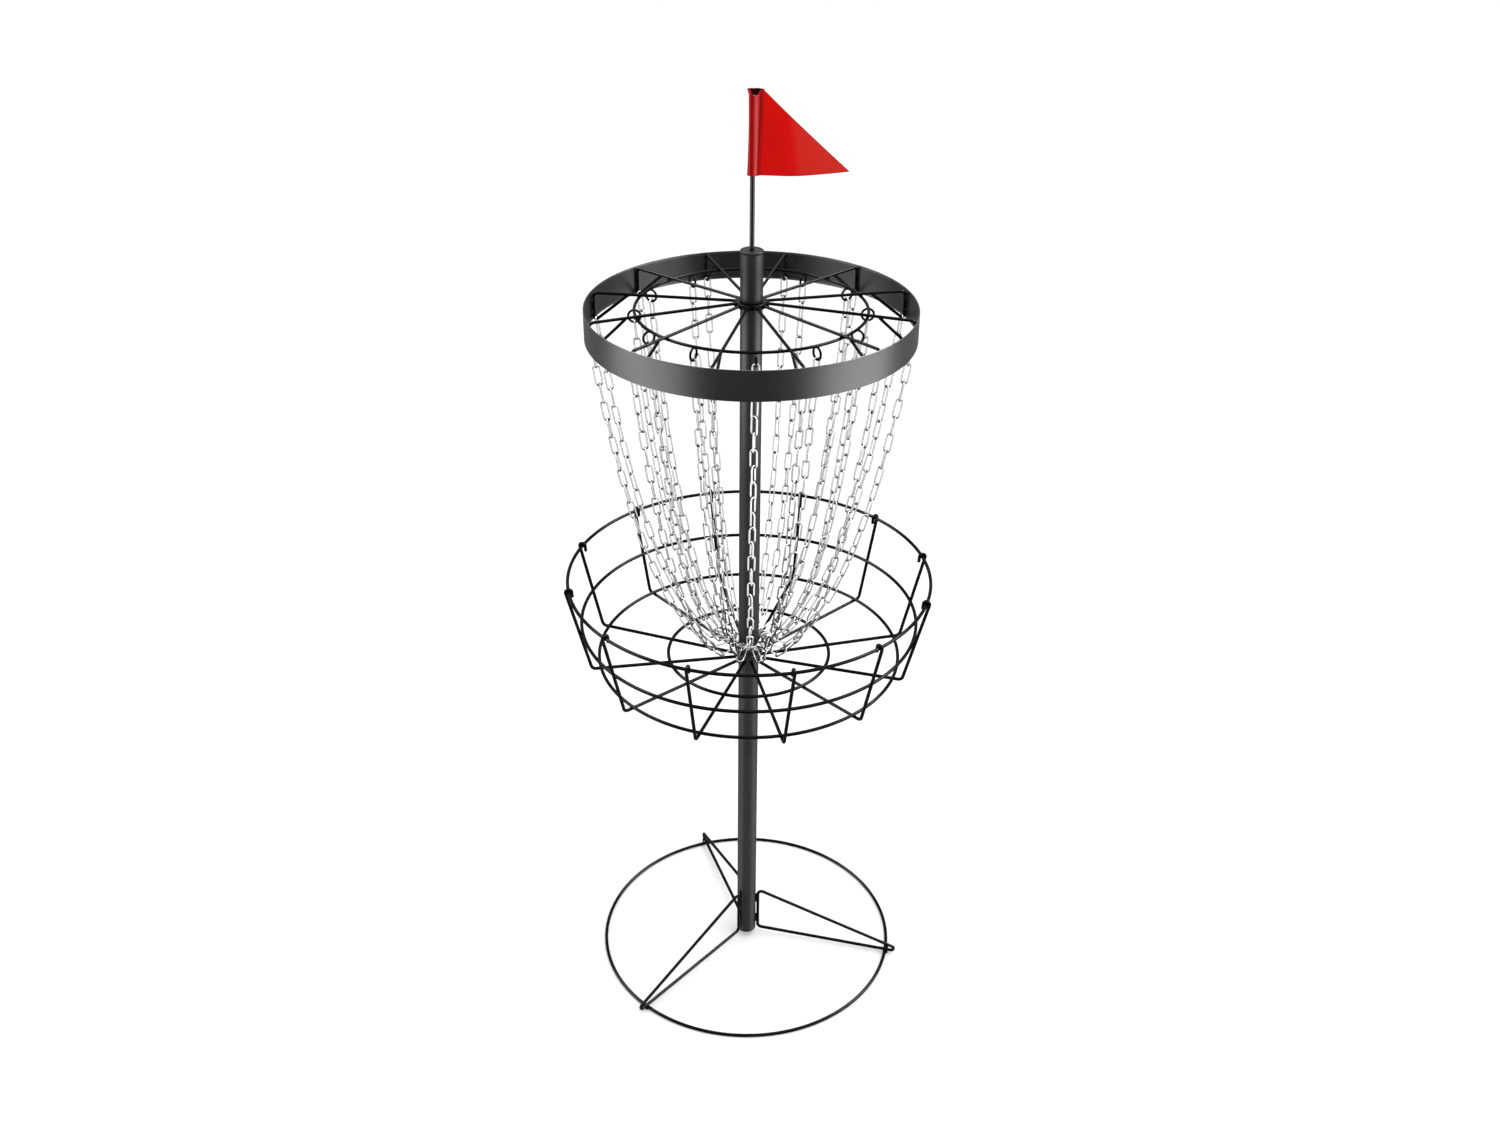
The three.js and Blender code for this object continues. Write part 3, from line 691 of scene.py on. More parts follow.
def weld(azimuth, radius, z, radii, seed, side=0.0, tangent_first=False, **options):
    """A bead with radii along radial, tangent, vertical, or along tangent, radial, vertical."""
    radial, tangent = axes_at(azimuth)
    axes = (tangent, radial, AXIS) if tangent_first else (radial, tangent, AXIS)
    return bead(point(azimuth, radius, z, side), axes, radii, seed, **options)


# ---------------------------------------------------------------- base: ring, legs, clips
BASE_RING_R = 277.4
LEG_BAR_R = 22.8               # the leg's upright part beside the pole
LEG_LOW = 17.5
LEG_HIGH = 112.0
LEG_TIP = 297.0
HAIRPIN_R = 5.0
LEG_BEND_R = 8.0
TAB_H = 20.0
TAB_T = 3.0
TAB_BEVEL = 0.35
LIP_T = 2.4
LIP_DROP = 7.0
WIRE_END_Z = TAB_BOTTOMS[1] + TAB_H / 2     # where the leg's two wire ends meet
CLIP_WIRE = 1.5
CLIP_R = BASE_RING_R + WIRE_R + GAP + CLIP_WIRE + GAP
CLIP_HALF = WIRE_R + 0.6 + CLIP_WIRE
CLIP_TOP = 12.5
CLIP_BEND_R = 2.6


def leg_line():
    """The leg's wire as (radius, z): out along the top, round the hairpin and back below."""
    tip = np.array([LEG_TIP - WIRE_R - HAIRPIN_R, CROSS + WIRE_R + HAIRPIN_R - 0.45])
    high = (LEG_BAR_R, LEG_HIGH)
    low = (LEG_BAR_R, LEG_LOW)
    start = math.atan2(tip[1] + HAIRPIN_R - high[1], tip[0] - high[0]) + pi / 2
    end = math.atan2(tip[1] - HAIRPIN_R - low[1], tip[0] - low[0]) - pi / 2
    pin = arc(tip, HAIRPIN_R, start, end - start, 18)
    upper = fillet([(LEG_BAR_R, WIRE_END_Z + GAP), high, pin[0]], [LEG_BEND_R], 14)
    lower = fillet([pin[-1], low, (LEG_BAR_R, WIRE_END_Z - GAP)], [LEG_BEND_R], 14)
    return subdivide(np.vstack([upper, pin[1:-1], lower]))


def hook_plate(azimuth, bottom):
    """A bevelled flat plate through a pole slot, with a lip that drops inside the wall."""
    back = POLE_IN_R - GAP
    lip = back - LIP_T
    front = LEG_BAR_R - 0.6
    top = bottom + TAB_H
    outline = [(lip, bottom - LIP_DROP), (back, bottom - LIP_DROP), (back, bottom),
               (front, bottom), (front, top), (lip, top)]
    loop = round_loop(outline, [0.9, 0.9, 0.5, 0.4, 0.4, 1.6])
    if loop_area(loop) < 0:
        loop = loop[::-1]
    count = len(loop)
    along = unit_rows(np.roll(loop, -1, 0) - np.roll(loop, 1, 0))
    inward = np.stack([-along[:, 1], along[:, 0]], -1)
    half = TAB_T / 2
    # ring: (share of the bevel moved inwards, sideways place, wear)
    rings = [(1.0, -half, 0.45), (0.29, -half + TAB_BEVEL * 0.29, 0.45),
             (0.0, -half + TAB_BEVEL, 0.1), (0.0, half - TAB_BEVEL, 0.1),
             (0.29, half - TAB_BEVEL * 0.29, 0.45), (1.0, half, 0.45)]
    verts = []
    for share, side, _ in rings:
        radius, z = (loop + inward * TAB_BEVEL * share).T
        verts.append(point(azimuth, radius, z, side))
    index = np.arange(count)
    faces = [grid_faces(len(rings), count, False), index[None, ::-1],
             index[None, :] + (len(rings) - 1) * count]
    return np.vstack(verts), faces, np.repeat([wear_and_painted_light for _, _, wear_and_painted_light in rings], count)


def leg_welds(azimuth, seed):
    parts = []
    for bottom in TAB_BOTTOMS:
        for side in (-1.9, 1.9):
            for k in range(5):
                seed += 1
                z = bottom + 2.4 + k * 3.8
                parts.append(weld(
                    azimuth, LEG_BAR_R - 1.35, z, (1.5, 1.25, 2.6), seed, side=side))
    # a bead closes the wire's two ends behind the upper plate, another joins leg and ring
    parts.append(weld(
        azimuth, LEG_BAR_R + 0.2, WIRE_END_Z, (2.75, 2.75, 1.5), seed + 3, rough=0.1))
    parts.append(weld(
        azimuth, BASE_RING_R + 0.2, CROSS, (2.6, 2.6, 1.35), seed + 5, side=0.4,
        tangent_first=True))
    return parts


def clip_wire(azimuth):
    """A U of thin wire, open at the top, just outside the base ring."""
    bottom = CLIP_WIRE + 0.2
    line = fillet(
        [(-CLIP_HALF, CLIP_TOP), (-CLIP_HALF, bottom), (CLIP_HALF, bottom),
         (CLIP_HALF, CLIP_TOP)], [CLIP_BEND_R, CLIP_BEND_R], 10)
    side, z = subdivide(line, 2.0).T
    radial, _ = axes_at(azimuth)
    return sweep(point(azimuth, CLIP_R, z, side), CLIP_WIRE, radial, 14, wear_and_painted_light=0.2)


def build_leg(index, azimuth, line):
    number = index + 1
    radius, z = line.T
    _, tangent = axes_at(azimuth)
    wear_and_painted_light = np.clip(0.75 * bell(radius, LEG_TIP, 9.0) + np.where(z < 12.0, 0.25, 0.0) + 0.1, 0, 1)
    wire = sweep(point(azimuth, radius, z), COATED_WIRE, -tangent, 18, wear_and_painted_light=wear_and_painted_light)
    build(f"leg_{number}_wire", [wire], "wire", "base", f"leg_{number}")
    for place, bottom in zip(("lower", "upper"), TAB_BOTTOMS):
        plate = hook_plate(azimuth, bottom)
        build(f"leg_{number}_hook_{place}", [plate], "plate", "base")
    build(f"leg_{number}_welds", leg_welds(azimuth, 10 * index), "wire", "base")
    clip = f"ring_clip_{number}"
    build(f"{clip}_wire", [clip_wire(azimuth)], "wire", "base", clip)
    beads = [
        weld(azimuth, CLIP_R - CLIP_WIRE - 0.35, 2.9, (1.5, 1.0, 1.8), 10 * index + 27 + side,
             side=side * CLIP_HALF, tangent_first=True) for side in (-1, 1)]
    build(f"{clip}_welds", beads, "wire", "base")


ring_wear = spots(LEG_AZIMUTHS[0], 1.6, 0.35, pitch=120, rest=0.12)
base_ring = wire_ring(BASE_RING_R, COATED_WIRE, COATED_WIRE, 360, 47.0, ring_wear)
build("base_ring_wire", [base_ring], "wire", "base", "base_ring")
bent_line = leg_line()
for i, azimuth in enumerate(LEG_AZIMUTHS):
    build_leg(i, azimuth, bent_line)


# ---------------------------------------------------------------- pole
FOOT_Z = 13.0
FOOT_FLANGE = 2.7
LOWER_TOP = 738.0
UPPER_BOTTOM = 668.4
UPPER_TOP = 1384.0
NECK_IN_R = NECK_R - POLE_WALL
SLOT_W = 4.2
SLOT_H = 38.0
SLOT_CORNER_R = 1.3
SLOT_CUT = (11.0, 24.0)        # radii between which the slot cutter runs


def pole_tube(bottom, shoulder, top):
    """A tube with a necked top. Long walls get rings so that wear stays at the corners."""
    outline = [
        (POLE_IN_R, bottom), (POLE_R, bottom), (POLE_R, shoulder), (NECK_R, shoulder),
        (NECK_R, top), (NECK_IN_R, top), (NECK_IN_R, shoulder - 3), (POLE_IN_R, shoulder - 5)]
    loop = round_loop(outline, [0.4, 0.5, 0.75, 0.35, 1.1, 0.4, 1.0, 1.0], 6)
    rows, wear_and_painted_light = [], []
    for start, end in zip(loop, np.roll(loop, -1, 0)):
        extra = int(np.linalg.norm(end - start) // 40)
        rows += [start + (end - start) * k / (extra + 1) for k in range(extra + 1)]
        wear_and_painted_light += [0.5] + [0.0] * extra
    return lathe(rows, 128, wear_and_painted_light)


def slot_cutter(azimuth, tab_bottom):
    """A rounded bar through the wall, for one hook plate's slot."""
    low = tab_bottom - 0.4
    high = low + SLOT_H
    half = SLOT_W / 2
    outline = [(-half, low), (half, low), (half, high), (-half, high)]
    loop = round_loop(outline, [SLOT_CORNER_R] * 4, 6)
    verts = np.vstack([point(azimuth, radius, loop[:, 1], loop[:, 0]) for radius in SLOT_CUT])
    index = np.arange(len(loop))[None, :]
    faces = [grid_faces(2, len(loop), False), index[:, ::-1], index + len(loop)]
    return verts, faces, np.zeros(len(verts))


def cut_slots(tube):
    verts, faces, _ = join([
        slot_cutter(azimuth, bottom) for azimuth in LEG_AZIMUTHS for bottom in TAB_BOTTOMS])
    cutter_mesh = bpy.data.meshes.new("slot_cutter")
    cutter_mesh.from_pydata(verts.tolist(), [], [row.tolist() for rows in faces for row in rows])
    cutter = bpy.data.objects.new("slot_cutter", cutter_mesh)
    scene.collection.objects.link(cutter)
    cut = tube.modifiers.new("slots", "BOOLEAN")
    cut.operation = "DIFFERENCE"
    cut.object = cutter
    cut.solver = "EXACT"
    bpy.context.view_layer.update()
    depsgraph = bpy.context.evaluated_depsgraph_get()
    mesh = bpy.data.meshes.new_from_object(tube.evaluated_get(depsgraph), depsgraph=depsgraph)
    tube.modifiers.clear()
    uncut = tube.data
    tube.data = mesh
    bpy.data.objects.remove(cutter)
    bpy.data.meshes.remove(cutter_mesh)
    bpy.data.meshes.remove(uncut)
    mesh.name = "lower_pole_tube"
    shade_smooth(mesh, 32)


def foot_plug():
    """A cup pressed into the pole's foot, its underside slightly dished."""
    # radius, height over FOOT_Z, wear
    rows = np.array([
        (0.0, 0.5, 0.3), (5.0, 0.4, 0.3), (8.0, 0.0, 0.6), (POLE_R - 1.2, 0.0, 0.7),
        (POLE_R - 0.4, 0.35, 0.8), (POLE_R, 1.1, 0.6), (POLE_R, FOOT_FLANGE - 0.3, 0.0),
        (POLE_R - 0.3, FOOT_FLANGE, 0.0), (POLE_IN_R - 0.3, FOOT_FLANGE, 0.0),
        (POLE_IN_R - 0.4, 5.0, 0.0), (POLE_IN_R - 0.9, 7.2, 0.0), (POLE_IN_R - 1.2, 7.5, 0.0),
        (POLE_IN_R - 2.2, 7.5, 0.0), (POLE_IN_R - 2.6, 7.0, 0.0), (POLE_IN_R - 2.8, 3.0, 0.0),
        (0.0, 2.6, 0.0)])
    return lathe(rows[:, :2] + (0.0, FOOT_Z), 96, rows[:, 2])


lower_tube = pole_tube(FOOT_Z + FOOT_FLANGE + GAP, LOWER_SHOULDER, LOWER_TOP)
cut_slots(build("lower_pole_tube", [lower_tube], "pole", "pole", "lower_pole"))
upper_tube = pole_tube(UPPER_BOTTOM, UPPER_SHOULDER, UPPER_TOP)
build("upper_pole_tube", [upper_tube], "pole", "upper_pole", "upper_pole")
build("foot_plug_moulding", [foot_plug()], "cap", "pole", "foot_plug")


# ---------------------------------------------------------------- catch basket
RIB_AZIMUTH = 12.1
BASKET_HUB_R = 23.5
BASKET_HUB_Z = (LOWER_SHOULDER + GAP, 668.0)
RIB_LEAN = {3: 7.5, 9: 5.0}    # sideways lean at the rim of the ribs that are bent
FLOOR_IN = (23.9, 656.2)       # (radius, z) of a rib's inner end
FLOOR_SLOPE = 0.0302
FLOOR_CORNER_R = 276.6
WALL_REF = (280.5, 668.0)      # (radius, z) of a point on the wall's slanted line
WALL_SLOPE = 0.2452            # radius gained per height
WALL_NORM = math.hypot(1, WALL_SLOPE)
RIM = (313.1, 823.3)           # (radius, z)
MID_Z = 740.1
LOWER_RING_R = 264.7
FLOOR_RING_R = 142.6


def floor_z(radius):
    return FLOOR_IN[1] + FLOOR_SLOPE * (radius - FLOOR_IN[0])


def wall_r(z):
    return WALL_REF[0] + WALL_SLOPE * (z - WALL_REF[1])


def rib_lean(index, z):
    height = (z - WALL_REF[1]) / (RIM[1] - WALL_REF[1])
    return RIB_LEAN.get(index, 0.0) * np.clip(height, 0, 2)


def rib_line():
    """A rib as (radius, z): along the floor, up the wall, over the rim and down inside."""
    corner_z = floor_z(FLOOR_CORNER_R)
    along = np.array([WALL_SLOPE, 1.0]) / WALL_NORM
    outwards = np.array([1.0, -WALL_SLOPE]) / WALL_NORM
    rim = np.array(RIM)
    climb = fillet([FLOOR_IN, (wall_r(corner_z), corner_z), rim + outwards * CROSS], [9], 16)
    start = math.atan2(outwards[1], outwards[0])
    hook_sweep = pi * 1.08
    hook = arc(rim, CROSS, start, hook_sweep, 30)[1:]
    # the tail leaves the hook on its tangent and ends inside the wall
    end = hook[-1]
    tail_end = end - along * 10 + outwards * (1.6, 0.0)
    heading = np.array([-math.sin(start + hook_sweep), math.cos(start + hook_sweep)]) * 3.5
    tail = []
    for k in range(1, 9):
        share = k / 8
        tail.append(
            (end + heading * share) * (1 - share) ** 2
            + 2 * share * (1 - share) * (end + heading) + share * share * tail_end)
    return subdivide(np.vstack([climb, hook, tail]))


def build_ribs():
    radius, z = rib_line().T
    hook_wear = np.clip((z - (RIM[1] - 3)) / 6.0, 0, 1) * 0.65
    corner_wear = bell(radius, 277.5, 5.0) * bell(z, 665.0, 6.0) * 0.55
    wear_and_painted_light = np.maximum(hook_wear, corner_wear) + 0.05
    for i, azimuth in enumerate(stations(RIB_AZIMUTH)):
        # a shop-bent hook is never quite like its neighbour
        sway = 0.5 * math.sin(i * 2.3 + 0.7) * np.clip((z - 815) / 12, 0, 1) * 0.6
        points = point(azimuth, radius, z, sway + rib_lean(i, z))
        _, tangent = axes_at(azimuth)
        name = f"basket_rib_{i + 1:02d}"
        wire = sweep(points, COATED_WIRE, -tangent, wear_and_painted_light=wear_and_painted_light)
        build(f"{name}_wire", [wire], "wire", "basket", name)


def wall_weld(index, azimuth, radius, z, radii, seed, drop=0.0):
    """A bead on the outer side of a wall ring, where a rib crosses it."""
    radial, tangent = axes_at(azimuth)
    outwards = unit(radial - AXIS * WALL_SLOPE)
    upwards = unit(np.cross(outwards, tangent))
    centre = point(azimuth, radius, z, rib_lean(index, z)) + outwards * (CROSS / 2)
    return bead(centre - AXIS * drop, (tangent, upwards, outwards), radii, seed)


# ring: radius, z, segments, azimuth of the butt weld, wear at the ribs
BASKET_RINGS = {
    "rim_ring": (RIM[0], RIM[1], 348, 200.0, 0.5),
    "mid_ring": (wall_r(MID_Z) - CROSS * WALL_NORM, MID_Z, 336, 71.0, 0.2),
    "lower_ring": (LOWER_RING_R, floor_z(LOWER_RING_R) + CROSS, 312, 318.0, 0.2),
    "floor_ring": (FLOOR_RING_R, floor_z(FLOOR_RING_R) + CROSS, 216, 140.0, 0.2),
}

hub_section = ring_section(COLLAR_BORE, BASKET_HUB_R, BASKET_HUB_Z, [0.5, 0.9, 0.9, 0.5])
build("basket_hub_collar", [lathe(hub_section, 128, 0.6)], "pole", "basket", "basket_hub")
build_ribs()
for name, (radius, z, segments, weld_azimuth, level) in BASKET_RINGS.items():
    ring_wear = spots(RIB_AZIMUTH, 1.4, level)
    ring = wire_ring(radius, z, COATED_WIRE, segments, weld_azimuth, ring_wear)
    build(f"{name}_wire", [ring], "wire", "basket", name)

rib_stations = list(enumerate(stations(RIB_AZIMUTH)))
ring_r, ring_z = BASKET_RINGS["mid_ring"][:2]
beads = [wall_weld(i, azimuth, ring_r, ring_z, (2.35, 2.35, 1.5), 101 + i)
         for i, azimuth in rib_stations]
build("mid_ring_welds", beads, "wire", "basket")
for name, seed in (("lower_ring", 113), ("floor_ring", 125)):
    ring_r, ring_z = BASKET_RINGS[name][:2]
    beads = [weld(azimuth, ring_r, ring_z - CROSS / 2, (2.35, 2.35, 1.5), seed + i,
                  tangent_first=True) for i, azimuth in rib_stations]
    build(f"{name}_welds", beads, "wire", "basket")
beads = [wall_weld(i, azimuth, RIM[0], RIM[1], (2.3, 2.4, 1.3), 137 + i, drop=0.6)
         for i, azimuth in rib_stations]
build("rim_ring_welds", beads, "wire", "basket")
beads = [weld(azimuth, BASKET_HUB_R + 0.9, FLOOR_IN[1] + 0.2, (2.2, 3.4, 3.3), 149 + i,
              level=3, rough=0.14) for i, azimuth in rib_stations]
build("basket_hub_welds", beads, "wire", "basket")


# ---------------------------------------------------------------- chain carrier
SPOKE_AZIMUTH = 17.2
LOOP_AZIMUTH = 2.2
BAND_R = 265.0
BAND_T = 1.5
BAND_Z = (1265.7, 1314.8)
CARRIER_HUB_R = 25.8
CARRIER_HUB_Z = (UPPER_SHOULDER + GAP, 1322.1)
# (radius, z): hub, top of the band, bottom of the band, end on the spoke's own underside
SPOKE_LINE = [(20.5, 1319.7), (260.9, 1311.9), (260.9, 1264.0), (203.5, 1312.2)]
SPOKE_END_R = 205.0
CHAIN_RING_R = 184.7
LOOP_R = 9.75
LOOP_WIRE = 1.9
LOOP_DROP = 12.1               # from the chain ring down to a loop's centre
COLLECTOR_R = 27.0
COLLECTOR_WIRE = 2.0
COLLECTOR_Z = 690.0


def spoke_z(radius):
    (hub_r, hub_z), (band_r, band_z) = SPOKE_LINE[:2]
    return hub_z + (band_z - hub_z) * (radius - hub_r) / (band_r - hub_r)


CHAIN_RING_Z = spoke_z(CHAIN_RING_R) - 2 * SPOKE_R - GAP
LOOP_Z = CHAIN_RING_Z - LOOP_DROP


def band_strip():
    """The band, its two upright faces divided in twelve. A wear of -1 marks the inner face."""
    loop = ring_section(BAND_R - BAND_T, BAND_R, BAND_Z, [0.55] * 4, 5)
    rows, wear_and_painted_light = [], []
    for start, end in zip(loop, np.roll(loop, -1, 0)):
        rows.append(start)
        wear_and_painted_light.append(0.75)
        if abs(end[1] - start[1]) > 20:
            rows += [start + (end - start) * k / 12 for k in range(1, 12)]
            wear_and_painted_light += [-1.0 if start[0] < BAND_R - 0.5 * BAND_T else 0.0] * 11
    return lathe(rows, 512, wear_and_painted_light)


def build_spokes():
    line = subdivide(fillet(SPOKE_LINE, [8, 3.5], 16))
    radius, z = line.T
    wear_and_painted_light = bell(radius, 258, 5.0) * bell(z, 1269, 5.0) * 0.8 + 0.05
    for i, azimuth in enumerate(stations(SPOKE_AZIMUTH)):
        _, tangent = axes_at(azimuth)
        wire = sweep(point(azimuth, radius, z), COATED_SPOKE, -tangent, wear_and_painted_light=wear_and_painted_light)
        build(f"carrier_spoke_{i + 1:02d}", [wire], "wire", "carrier")


def chain_loop(azimuth):
    """An upright wire loop under the chain ring, worn at its lowest point."""
    angles = circle_angles(56)
    points = point(
        azimuth, CHAIN_RING_R + LOOP_R * np.cos(angles), LOOP_Z + LOOP_R * np.sin(angles))
    wear_and_painted_light = 0.6 * bell(wrap(angles - 1.5 * pi, 2 * pi), 0, 0.35)
    _, tangent = axes_at(azimuth)
    return sweep(points, LOOP_WIRE, -tangent, 14, closed=True, wear_and_painted_light=wear_and_painted_light)


def build_spoke_welds():
    hub, ring, band, spoke_end = [], [], [], []
    for i, azimuth in enumerate(stations(SPOKE_AZIMUTH)):
        seed = 173 + i
        hub.append(weld(azimuth, CARRIER_HUB_R + 0.6, 1318.3, (2.8, 3.7, 3.9), seed,
                        level=3, rough=0.12))
        z = spoke_z(CHAIN_RING_R) - SPOKE_R - 0.15
        ring.append(weld(azimuth, CHAIN_RING_R, z, (2.2, 2.2, 1.4), seed + 40))
        for z, half_height in ((1300.5, 4.2), (1280.5, 3.6)):
            for side in (-1.75, 1.75):
                band.append(weld(azimuth, BAND_R - BAND_T - 0.75, z, (1.1, 1.15, half_height),
                                 seed + 80 + z, side=side))
        z = spoke_z(SPOKE_END_R) - SPOKE_R - 0.4
        spoke_end.append(weld(azimuth, SPOKE_END_R, z, (3.4, 1.9, 1.3), seed + 120))
    build("carrier_hub_welds", hub, "wire", "carrier")
    build("chain_ring_welds", ring, "wire", "carrier")
    build("deflector_band_welds", band, "band", "carrier")
    build("spoke_end_welds", spoke_end, "wire", "carrier")


def collector_wear(degrees):
    return 0.04 + 0.10 * np.abs(np.sin(np.radians(degrees) * 12))


build("deflector_band_strip", [band_strip()], "band", "carrier", "deflector_band")
hub_section = ring_section(COLLAR_BORE, CARRIER_HUB_R, CARRIER_HUB_Z, [0.5, 1.1, 1.1, 0.5])
build("carrier_hub_collar", [lathe(hub_section, 128, 0.55)], "wire", "carrier", "spoke_frame")
build_spokes()
chain_ring = wire_ring(
    CHAIN_RING_R, CHAIN_RING_Z, COATED_SPOKE, 264, 250.0, spots(SPOKE_AZIMUTH, 1.6, 0.2))
build("chain_ring_wire", [chain_ring], "wire", "carrier", "chain_ring")
loops = [chain_loop(azimuth) for azimuth in stations(LOOP_AZIMUTH)]
build("chain_ring_loops", loops, "wire", "carrier")
beads = [weld(azimuth, CHAIN_RING_R, CHAIN_RING_Z - SPOKE_R - 0.1, (2.6, 1.9, 1.5), 161 + i)
         for i, azimuth in enumerate(stations(LOOP_AZIMUTH))]
build("chain_ring_loop_welds", beads, "wire", "carrier")
build_spoke_welds()
collector = wire_ring(COLLECTOR_R, COLLECTOR_Z, COLLECTOR_WIRE, 120, 33.0, collector_wear)
# painted light: the collector ring takes the lighter copy of the zinc
build("collector_ring_wire", [collector], "zinc_with_painted_light", "carrier", "collector_ring")


# ---------------------------------------------------------------- chains
LINK_WIRE = 1.42
LINK_HALF = 5.15               # half a link's width, to the wire's centre
LINKS = 21                     # links in a chain
CONNECTOR_R = 6.2              # round link between a chain and the collector ring
END_TOLERANCE = 0.03
FRONT_CHAIN = ("inner", 9)     # hangs on the -Y side, in a lighter zinc with painted light, and posed by the listed turns
FRONT_SWAY = -4.2
# link number and its turn about the front chain, in degrees
FRONT_TURNS = np.array([
    (0, 0), (2, 60), (3, 78), (5, 67), (6, 58), (8, 44), (10, 32),
    (12, 0), (14, 5), (15, 22), (16, 46), (17, 60), (18, 76), (20, 82)])
# azimuth, sideways lean, inner length, turn
SPARE_LINKS = (
    (-132.0, 0.10, 12.5, 0.34), (-38.0, -0.12, 13.5, -0.34), (-74.0, 1.7, 11.0, -0.5),
    (-107.0, -1.6, 11.0, 0.5), (95.0, 0.1, 14.0, 0.3))


def bisect(low, high, steps, is_low):
    for _ in range(steps):
        middle = (low + high) / 2
        if is_low(middle):
            low = middle
        else:
            high = middle
    return low, high


def link_template(inner):
    """A welded link along y, across x, with its inner ends at y = 0 and y = inner."""
    near = LINK_HALF - LINK_WIRE
    far = inner + LINK_WIRE - LINK_HALF
    middle = (near + far) / 2
    bend = pi * np.arange(11) / 11
    straight = np.arange(5) / 5
    side = np.full(5, LINK_HALF)
    x = np.concatenate([
        LINK_HALF * np.cos(-bend), -side, LINK_HALF * np.cos(pi - bend), side])
    y = np.concatenate([
        near + LINK_HALF * np.sin(-bend), near + (far - near) * straight,
        far + LINK_HALF * np.sin(pi - bend), far + (near - far) * straight])
    bulge = 1.0 + 0.13 * bell(x, LINK_HALF, 1.0) * bell(y, middle, 1.5)
    points = np.stack([x, y, np.zeros(len(x))], -1)
    verts, faces, _ = sweep(points, LINK_WIRE, AXIS, 10, closed=True, bulge=bulge)
    # rubbing marks and painted contact shade on the inside of each end
    x, y = verts[:, 0], verts[:, 1]
    bend_y = np.where(y < middle, near, far)
    at_end = np.clip((np.abs(y - middle) - (far - near) / 2) / 2.5, 0, 1)
    inside = np.clip((LINK_HALF - np.hypot(x, y - bend_y)) / LINK_WIRE + 0.62, 0, 1)
    return verts, faces, np.clip(at_end * inside * bell(x, 0, 3.3) * 1.6, 0, 1)


def placed_link(template, pitch, start, end, across, flip=False):
    verts, faces, wear_and_painted_light = template
    length = np.linalg.norm(end - start)
    along = (end - start) / length
    local = verts * (-1.0, 1.0, -1.0) if flip else verts
    local = local + (0.0, (length - pitch) / 2, 0.0)
    return start + local @ np.stack([across, along, np.cross(across, along)]), faces, wear_and_painted_light


def round_link(centre, first_axis, second_axis):
    angles = circle_angles(34)
    circle = np.outer(np.cos(angles), first_axis) + np.outer(np.sin(angles), second_axis)
    normal = np.cross(first_axis, second_axis)
    verts, faces, _ = sweep(centre + CONNECTOR_R * circle, LINK_WIRE, normal, 12, closed=True)
    # rubbing marks and painted contact shade where the round link meets its neighbours
    from_centre = verts - centre
    inside = (CONNECTOR_R - np.linalg.norm(from_centre, axis=1)) / LINK_WIRE
    at_end = np.clip(np.abs(from_centre @ first_axis / CONNECTOR_R) * 1.6 - 0.6, 0, 1)
    return verts, faces, np.clip(np.clip(inside + 0.2, 0, 1) * at_end * 1.5, 0, 1)


def chain_path(top, low, end, slack):
    """A catenary (radius, z) from top to low, then a smooth swing to the end."""
    width = top[0] - low[0]
    drop = top[1] - low[1]
    length = math.hypot(width, drop) * slack
    spread = math.sqrt(length * length - drop * drop)
    scale = sum(bisect(
        5.0, 5000.0, 120, lambda a: 2 * a * math.sinh(width / (2 * a)) > spread)) / 2
    lowest_r = (top[0] + low[0]) / 2 - scale * math.atanh(drop / length)
    base_z = low[1] - scale * math.cosh((low[0] - lowest_r) / scale)
    top_s, low_s = (scale * math.sinh((r - lowest_r) / scale) for r in (top[0], low[0]))
    lengths = top_s + (low_s - top_s) * np.arange(261) / 260
    radius = lowest_r + scale * np.arcsinh(lengths / scale)
    curve = np.stack([radius, base_z + scale * np.cosh((radius - lowest_r) / scale)], -1)
    start = curve[-1]
    control = start + unit(start - curve[-3]) * np.linalg.norm(end - start) * 0.35
    share = np.linspace(0, 1, 24)[1:, None]
    tail = start * (1 - share) ** 2 + 2 * control * share * (1 - share) + end * share * share
    return np.vstack([curve, tail])


def step_along(path, pitch):
    """Steps of equal straight length along the path, or None where the path is too short."""
    nodes = [path[0]]
    segment = 0
    for _ in range(LINKS):
        here = nodes[-1]
        while segment < len(path) - 1 and np.linalg.norm(path[segment + 1] - here) < pitch:
            segment += 1
        if segment == len(path) - 1:
            return None
        start = path[segment]
        span = path[segment + 1] - start
        _, share = bisect(
            0.0, 1.0, 40, lambda q: np.linalg.norm(start + span * q - here) < pitch)
        nodes.append(start + span * share)
    return np.array(nodes)


def chain_nodes(path):
    """The pitch that just fits all the links on the path, and the links' ends."""
    def falls_short(pitch):
        nodes = step_along(path, pitch)
        return nodes is not None and np.linalg.norm(nodes[-1] - path[-1]) >= END_TOLERANCE

    pitch, _ = bisect(20.0, 36.0, 60, falls_short)
    return step_along(path, pitch), pitch


